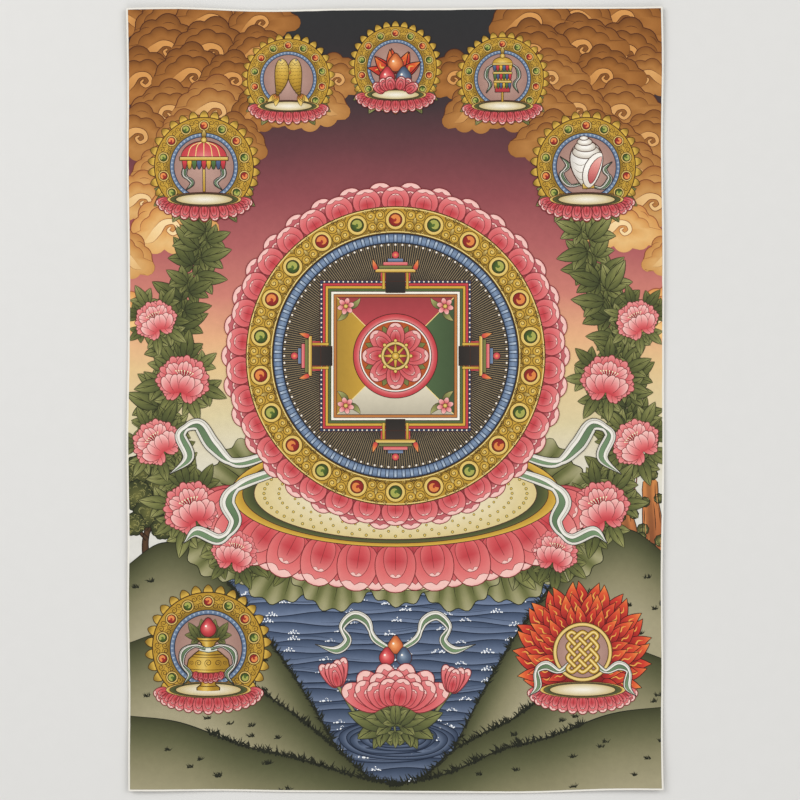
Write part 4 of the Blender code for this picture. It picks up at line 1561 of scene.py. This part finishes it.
def vase():
    # A round-bellied gilt vase with engraved bands, a scarf tied at its neck and a jewel on top.
    line = gold["line"]
    y = np.array([-24, -22, -19, -16, -11, -5, 1, 6, 9, 11, 14, 17, 18.5])
    half = np.array([9, 9.5, 5.5, 6.5, 14, 17.2, 16, 10.5, 6.2, 5.0, 5.4, 8.8, 9.4])
    fine = np.linspace(-24, 18.5, 40)
    u, v = np.interp(fine, y, half)[:, None], np.linspace(-1, 1, 11)
    light = 0.22 + 0.62 * np.exp(-((v + 0.25) / 0.42) ** 2)
    body = patch(u * v, fine[:, None] + 0 * v - 0.06 * u * (1 - v**2),
                 shade(pick(gold, "dark mid light pale"), light[None, :] + 0 * u), 0.05)
    prints, across = put(inked(body, 0.9, line, (1, 1))), np.linspace(-1, 1, 15)
    for at, width in ((-20.4, 0.7), (-9, 0.7), (-6.6, 0.45), (3.2, 0.45), (5.2, 0.7), (10.6, 0.8),
                      (16.4, 0.7)):
        reach = np.interp(at, y, half)
        path = np.stack([reach * 0.98 * across, at - 0.06 * reach * (1 - across**2)], 1)
        prints += put([brush(path, width, line, (1, 1), rise=0.07)])
    whirl = brush(spiral(3.4, 0.7, 200, 1.6, 22), 0.6, line, (0.4, 0.4), rise=0.075)
    for x, size in (-13.4, 0.62), (-7.8, 0.9), (0, 1.0), (7.8, 0.9), (13.4, 0.62):
        prints += put([whirl], spot(x, -1.9, size=size, flip=1 if x < 0.1 else -1))
    prints += put(lotusPetal(8.5, 6.4), places(*(
        (x, -10.2 + 0.01 * x * x, -x * 1.6 + 180, 1 - 0.02 * abs(x), 1, 0.08 + 0.004 * n)
        for n, x in enumerate(np.linspace(-11, 11, 6)))))
    prints += mirrored(scarf([(2, 9.5), (11, 12), (20, 7), (21, -3), (15, -11), (21, -20)],
                             (2, 4.6, 5.6, 5, 4, 0.4), 34), 0.09)
    knotted = ribbon([(-7, 9.5), (0, 8.6), (7, 9.5)], (3, 4.4, 3), pick(silk, "white white"), 0.12, 5,
                     silk["fold"])
    prints += put(inked(knotted, 0.55, silk["line"]))
    for x, turn, tint in (-6, 34, 0.3), (6, -34, 0.3), (-2.5, 10, 0.5), (2.5, -10, 0.5):
        prints += put(leafSpray(tint), spot(x, 16, turn, 0.5, rise=-0.10))
    return prints + put(jewel(jewelTones["red"]), spot(y=25.5, size=1.05, rise=0.12))


def endlessKnot():
    # One closed strand on a lattice, four times across while it goes three times up: two zigzags,
    # rounded at their turns. It crosses itself at 34 set times, over and under by turns.
    t = np.linspace(0, 2 * np.pi, 481)[:-1]
    path = np.stack([n * 4.67 * np.arcsin(0.985 * np.sin((7 - n) * t)) for n in (3, 4)], 1) / 1.4
    passes = sorted({(4 + 8 * k + 6 * n) % 48 for k in range(6) for n in (1, 2, 3)}
                    | {(3 + 6 * k + 8 * n) % 48 for k in range(8) for n in (1, 2)})
    rise = np.interp(t * 24 / np.pi, passes + [48], [0.12 * (n % 2) for n in range(len(passes))] + [0])
    path, rise = np.vstack([path, path[:1]]), np.append(rise, rise[0])[:, None]
    strands = []
    for n, (width, tone) in enumerate(((4.6, gold["line"]), (3.5, gold["mid"]), (1.5, gold["pale"]))):
        made = ribbon(path, (width, width), [tone] * 2, 0.0, 3)
        strands.append(patch(made["at"][..., 0], made["at"][..., 1], made["tone"], rise + 0.01 * n))
    return put(strands)


# The roundels that hold the emblems.

roundel = dict(
    disc="#B08D80", discRim="#A07C70", radius=27,
    units=14, eyes=(("#7E2320", "#A5342B", "#E08A4C"), ("#35451F", "#5C7332", "#A7A854")),
    top=(("parasol", -200, 244, 1.2, parasol), ("fish", -112, 336, 1.0, twoFish),
         ("jewels", 0, 348, 1.0, threeJewels), ("banner", 112, 336, 1.0, banner),
         ("conch", 200, 244, 1.2, conch)),
    level=0.66,
    sprays=(-150, -128, 128, 150),        # turns of the leaf sprays that stick out behind one
    vaseAt=(-196, -272), knotAt=(196, -272),
    bigSeat=(43, 15, 18, 13),             # reach, petals, and length and width of a petal
)
flames = dict(
    # radius, count and length of each row, outermost first, and how far round they go
    rows=((48, 25, 27), (38, 21, 25), (29, 17, 21)), sweep=300,
    glow=("#A32E26", "#8A1F1C", "#6E1817"),
    scarf=((12, -2), (24, -12), (38, -6), (48, -12), (47, -28), (56, -38)),
)
blossoms = dict(
    stalks=(((-4, -350), (-34, -338), (-60, -300)), ((4, -350), (30, -340), (58, -306)),
            ((0, -350), (-2, -330), (0, -306))),
    stalk=("#77784A", "#9A9A66"),
    leaves=((3, 100, 1.05), (4, 70, 1.35), (2, 34, 1.15)),            # out from the middle, turn, size
    tiers=((6, 66, 45, 27), (5, 52, 37, 25), (4, 38, 29, 23)),        # count, spread, length, width
    buds=((-60, -300, 14), (58, -306, -14)),
    jewels=((0, -258, "orange", 0.10), (-9, -270, "red", 0.2), (9, -270, "blue", 0.22)),
    scarf=((4, -262), (22, -250), (30, -232), (44, -226), (56, -238), (50, -252), (62, -262), (84, -256)),
)
broadScarves = dict(
    # second width, rise and points of the upper and of the lower one
    upper=(15, -0.59, ((122, -54), (166, -66), (190, -48), (206, -26), (224, -36), (216, -60),
                       (236, -78))),
    lower=(16, -0.54, ((108, -70), (160, -88), (176, -106), (168, -128), (184, -146), (208, -138),
                       (222, -150))),
)


def plainDisc(radius, columns, rows, rise=0.0):
    tones = [tinted(roundel["disc"], 1.08), roundel["disc"], roundel["discRim"]]
    return ring(0, radius, tones, columns, rows, rise=rise)


def glory():
    # A gilt aureole with curls and coloured eyes, a slate ring with ticks, and a plain disc.
    r, units, line = roundel["radius"], roundel["units"], gold["line"]
    leaf = blade(9.5, 7.5, pick(gold, "mid light dark"), 0.5, 0.7, rows=7)
    prints = put(inked(leaf, 0.6, line), around(30, r + 12.5))
    prints += put(band(r + 2, r + 16, pick(gold, "dark mid light mid"), 84, line), spot(rise=0.03))
    for n, (dark, mid, light) in enumerate(roundel["eyes"]):
        eye = ring(0, 3.4, [mid, dark], 14, 3, rise=0.02)
        rim = ring(3.4, 4.8, pick(gold, "pale mid"), 18, 2, rise=0.02)
        comma = brush(arc(1.7, -70, 200, 12, 0, 0.3), 1.9, light, (1, 0.2), rise=0.035)
        prints += put([*rimmed(rim, 0.5, line), *rimmed(eye, 0.5, line), comma],
                      around(units // 2, r + 9, n * 360 / units, rise=0.04))
    whirl = brush(spiral(2.9, 0.5, 140, 1.5, 18), 0.5, line, (0.4, 0.5), rise=0.02)
    for start, out in (0.36, 12), (0.64, 6.4), (0.36, 6.0), (0.64, 12.2):
        prints += put([whirl], around(units, r + out, start * 360 / units, rise=0.035, turn=start * 500))
    prints += put(band(r - 1, r + 2.4, pick(stoneBlue, "mid light"), 72, stoneBlue["line"], 0.6),
                  spot(rise=0.07))
    prints += put([slab(1.3, 0.3, 2.0, pick(stoneBlue, "light pale"), 2, 2)],
                  around(48, r - 0.4, rise=0.088))
    return prints + put([plainDisc(r - 1, 60, 6, 0.07)])


def makeRoundels():
    base, sprays = glory(), []
    for n, turn in enumerate(roundel["sprays"]):
        x, y = polar(30, -turn)
        sprays += put(leafSpray(0.25 * n), spot(x, y, turn, 0.72))
    for name, x, y, size, emblem in roundel["top"]:
        prints = put(sprays) + put(base, spot(rise=0.10))
        prints += put(smallSeat(), spot(y=-33, rise=0.24)) + put(emblem(), spot(y=1, size=1.14, rise=0.42))
        film(f"roundel_{name}", put(prints, spot(x, y, size=size)), roundel["level"], goldPaint)


def makeVase():
    prints = put(glory(), spot(y=12, size=1.36))
    prints += put(smallSeat(*roundel["bigSeat"]), spot(y=-36, rise=0.14))
    prints += put(vase(), spot(y=-1, size=1.3, rise=0.34))
    film("treasure_vase", put(prints, spot(*roundel["vaseAt"])), 0.5, goldPaint)


def makeKnot():
    # Rows of flames that lean upwards about a dark red glow, the knot on its disc, and its seat.
    prints = put([ring(0, 54, flames["glow"], 48, 4)], spot(y=8))
    for row, (radius, count, length) in enumerate(flames["rows"]):
        for n in range(count):
            angle = (n + 0.5 * (row % 2)) * flames["sweep"] / count - 144
            x, y = polar(radius, angle)
            flip, rise = 1 if (n + row) % 2 else -1, 0.02 + 0.09 * row + 0.03 * (n % 3)
            prints += put(licks[n % 3], spot(x, y + 8, -angle * 0.70, length / 27, flip, rise))
    prints += put(band(27, 31, pick(gold, "mid pale mid"), 60, gold["line"]), spot(y=8, rise=0.31))
    prints += put([plainDisc(27, 48, 5)], spot(y=8, rise=0.32))
    prints += put(smallSeat(*roundel["bigSeat"]), spot(y=-36, rise=0.32))
    prints += mirrored(scarf(flames["scarf"], (3, 8, 10, 9, 8, 0.5), 40), 0.49)
    prints += put(endlessKnot(), spot(y=8, size=1.12, rise=0.52))
    film("endless_knot", put(prints, spot(*roundel["knotAt"])), 0.45, vermilionPaint)


def makeBlossoms():
    # Three lotuses on stalks out of the whirl: an open one with jewels on it, and two buds.
    prints = []
    for n, points in enumerate(blossoms["stalks"]):
        stalk = ribbon(curve(points, 20), (1.5, 4, 3.4), blossoms["stalk"], 0.0, 3, side=leafTone["dark"])
        prints += put(inked(stalk, 0.6, leafTone["line"]), spot(rise=0.02 * n))
    for n, (x, turn, size) in enumerate(blossoms["leaves"]):
        prints += put(leafSpray(0.2 * n), places((-x, -344, turn, size, 1, 0.06 + 0.11 * n),
                                                 (x, -344, -turn, size, -1, 0.115 + 0.11 * n)))
    prints += put(leafSpray(0.6), places((0, -346, 180, 0.5, 1, 0.40), (0, -342, 0, 0.8, 1, 0.40)))
    for tier, (count, spread, length, width) in enumerate(blossoms["tiers"]):
        petal, last = lotusPetal(length, width), count - 1
        for k in range(count):
            a = (2 * k / last - 1) * spread
            climb = 0.52 + 0.17 * tier + 0.03 * min(2 * k, 2 * (last - k) + 1)
            prints += put(petal, spot(0.22 * a, -320, -a, flip=1 if a <= 0 else -1, rise=climb))
    for x, y, lean in blossoms["buds"]:
        for k, a in enumerate((-26, 26, -12, 12, 0)):
            prints += put(lotusPetal(31 - 1.5 * k, 13), spot(x, y, lean + a, rise=0.52 + 0.04 * k))
    for x, y, key, rise in blossoms["jewels"]:
        prints += put(jewel(jewelTones[key], 1.3), spot(x, y, rise=rise))
    prints += mirrored(scarf(blossoms["scarf"], (4, 9, 11, 10, 10, 9, 9, 0.5), 60), 0.02)
    film("lotus_blossoms", prints, 0.30, vermilionPaint)


def makeScarves():
    # Broad silks that come out from under the mandala, climb a little as they go, and fall over both
    # sides of its seat.
    prints = []
    for second, rise, points in broadScarves.values():
        prints += mirrored(scarf(points, (6, second, 17, 15, 14, 12, 1), 60), rise, 0.0045)
    film("silk_scarves", prints, 0.68, earthPaint)


makeRoundels()
makeVase()
makeKnot()
makeBlossoms()
makeScarves()
print("emblems done")


# Floor, light and camera.

view = dict(
    side=800,                  # pixels of the square picture
    centre=(395.3, 399.9),     # where the sheet's middle falls in it
    scale=1.047,               # mm of the sheet to a pixel
    face=0.002,                # m, the height of the painted face
    lens=100,                  # mm, a long lens straight above, as a copy stand has
    sensor=36,
    floor="#D9D8D5",
    daylight=0.48,             # strength of the even light from all round
    # soft square lamps: place and side in metres, watts
    lamps=dict(soft_left=((-1.7, 1.1, 2.0), 1.6, 36), soft_right=((1.7, 0.7, 2.0), 1.6, 23),
               soft_foot=((0.0, -1.9, 1.8), 1.4, 13)),
)


def makeStage():
    bpy.ops.mesh.primitive_plane_add(size=14)
    floor = bpy.context.object
    floor.name = "studio_floor"
    material, tree, output = newMaterial("paleStudioPaper")
    coords = addNode(tree, "TexCoord").outputs["Object"]
    fibres = addNode(tree, "TexNoise", {"Vector": coords, "Scale": 60.0, "Detail": 3.0})
    tone = addNode(tree, "Mix", {0: fibres.outputs["Fac"], 6: (*linear(view["floor"]) * 0.97, 1),
                                 7: (*linear(view["floor"]), 1)}, data_type="RGBA")
    surface = addNode(tree, "BsdfPrincipled", {"Base Color": tone.outputs[2], "Roughness": 0.9})
    tree.links.new(surface.outputs[0], output.inputs["Surface"])
    floor.data.materials.append(material)


def addLamp(name, at, side, power):
    # A soft square lamp that faces the middle of the sheet.
    lamp = bpy.data.lights.new(name, "AREA")
    lamp.shape, lamp.size, lamp.energy = "SQUARE", side, power
    holder = bpy.data.objects.new(name, lamp)
    bpy.context.scene.collection.objects.link(holder)
    holder.location = x, y, z = at
    holder.rotation_euler = (math.atan2(math.hypot(x, y), z), 0, math.atan2(x, -y))


def makeView():
    camera = bpy.data.cameras.new("copy_camera")
    camera.lens, camera.sensor_width = view["lens"], view["sensor"]
    holder = bpy.data.objects.new("copy_camera", camera)
    bpy.context.scene.collection.objects.link(holder)
    step, (x, y) = view["scale"] * mm, view["centre"]
    half = view["side"] / 2
    height = view["side"] * step * view["lens"] / view["sensor"] + view["face"]
    holder.location = ((half - x) * step, (y - half) * step, height)
    bpy.context.scene.camera = holder
    bpy.context.scene.view_settings.view_transform = "Standard"
    world = bpy.data.worlds.new("studio")
    world.use_nodes = True
    background = world.node_tree.nodes["Background"].inputs
    background["Color"].default_value = (1, 1, 1, 1)
    background["Strength"].default_value = view["daylight"]
    bpy.context.scene.world = world
    for name, lamp in view["lamps"].items():
        addLamp(name, *lamp)


makeStage()
makeView()
print("stage, light and camera done")
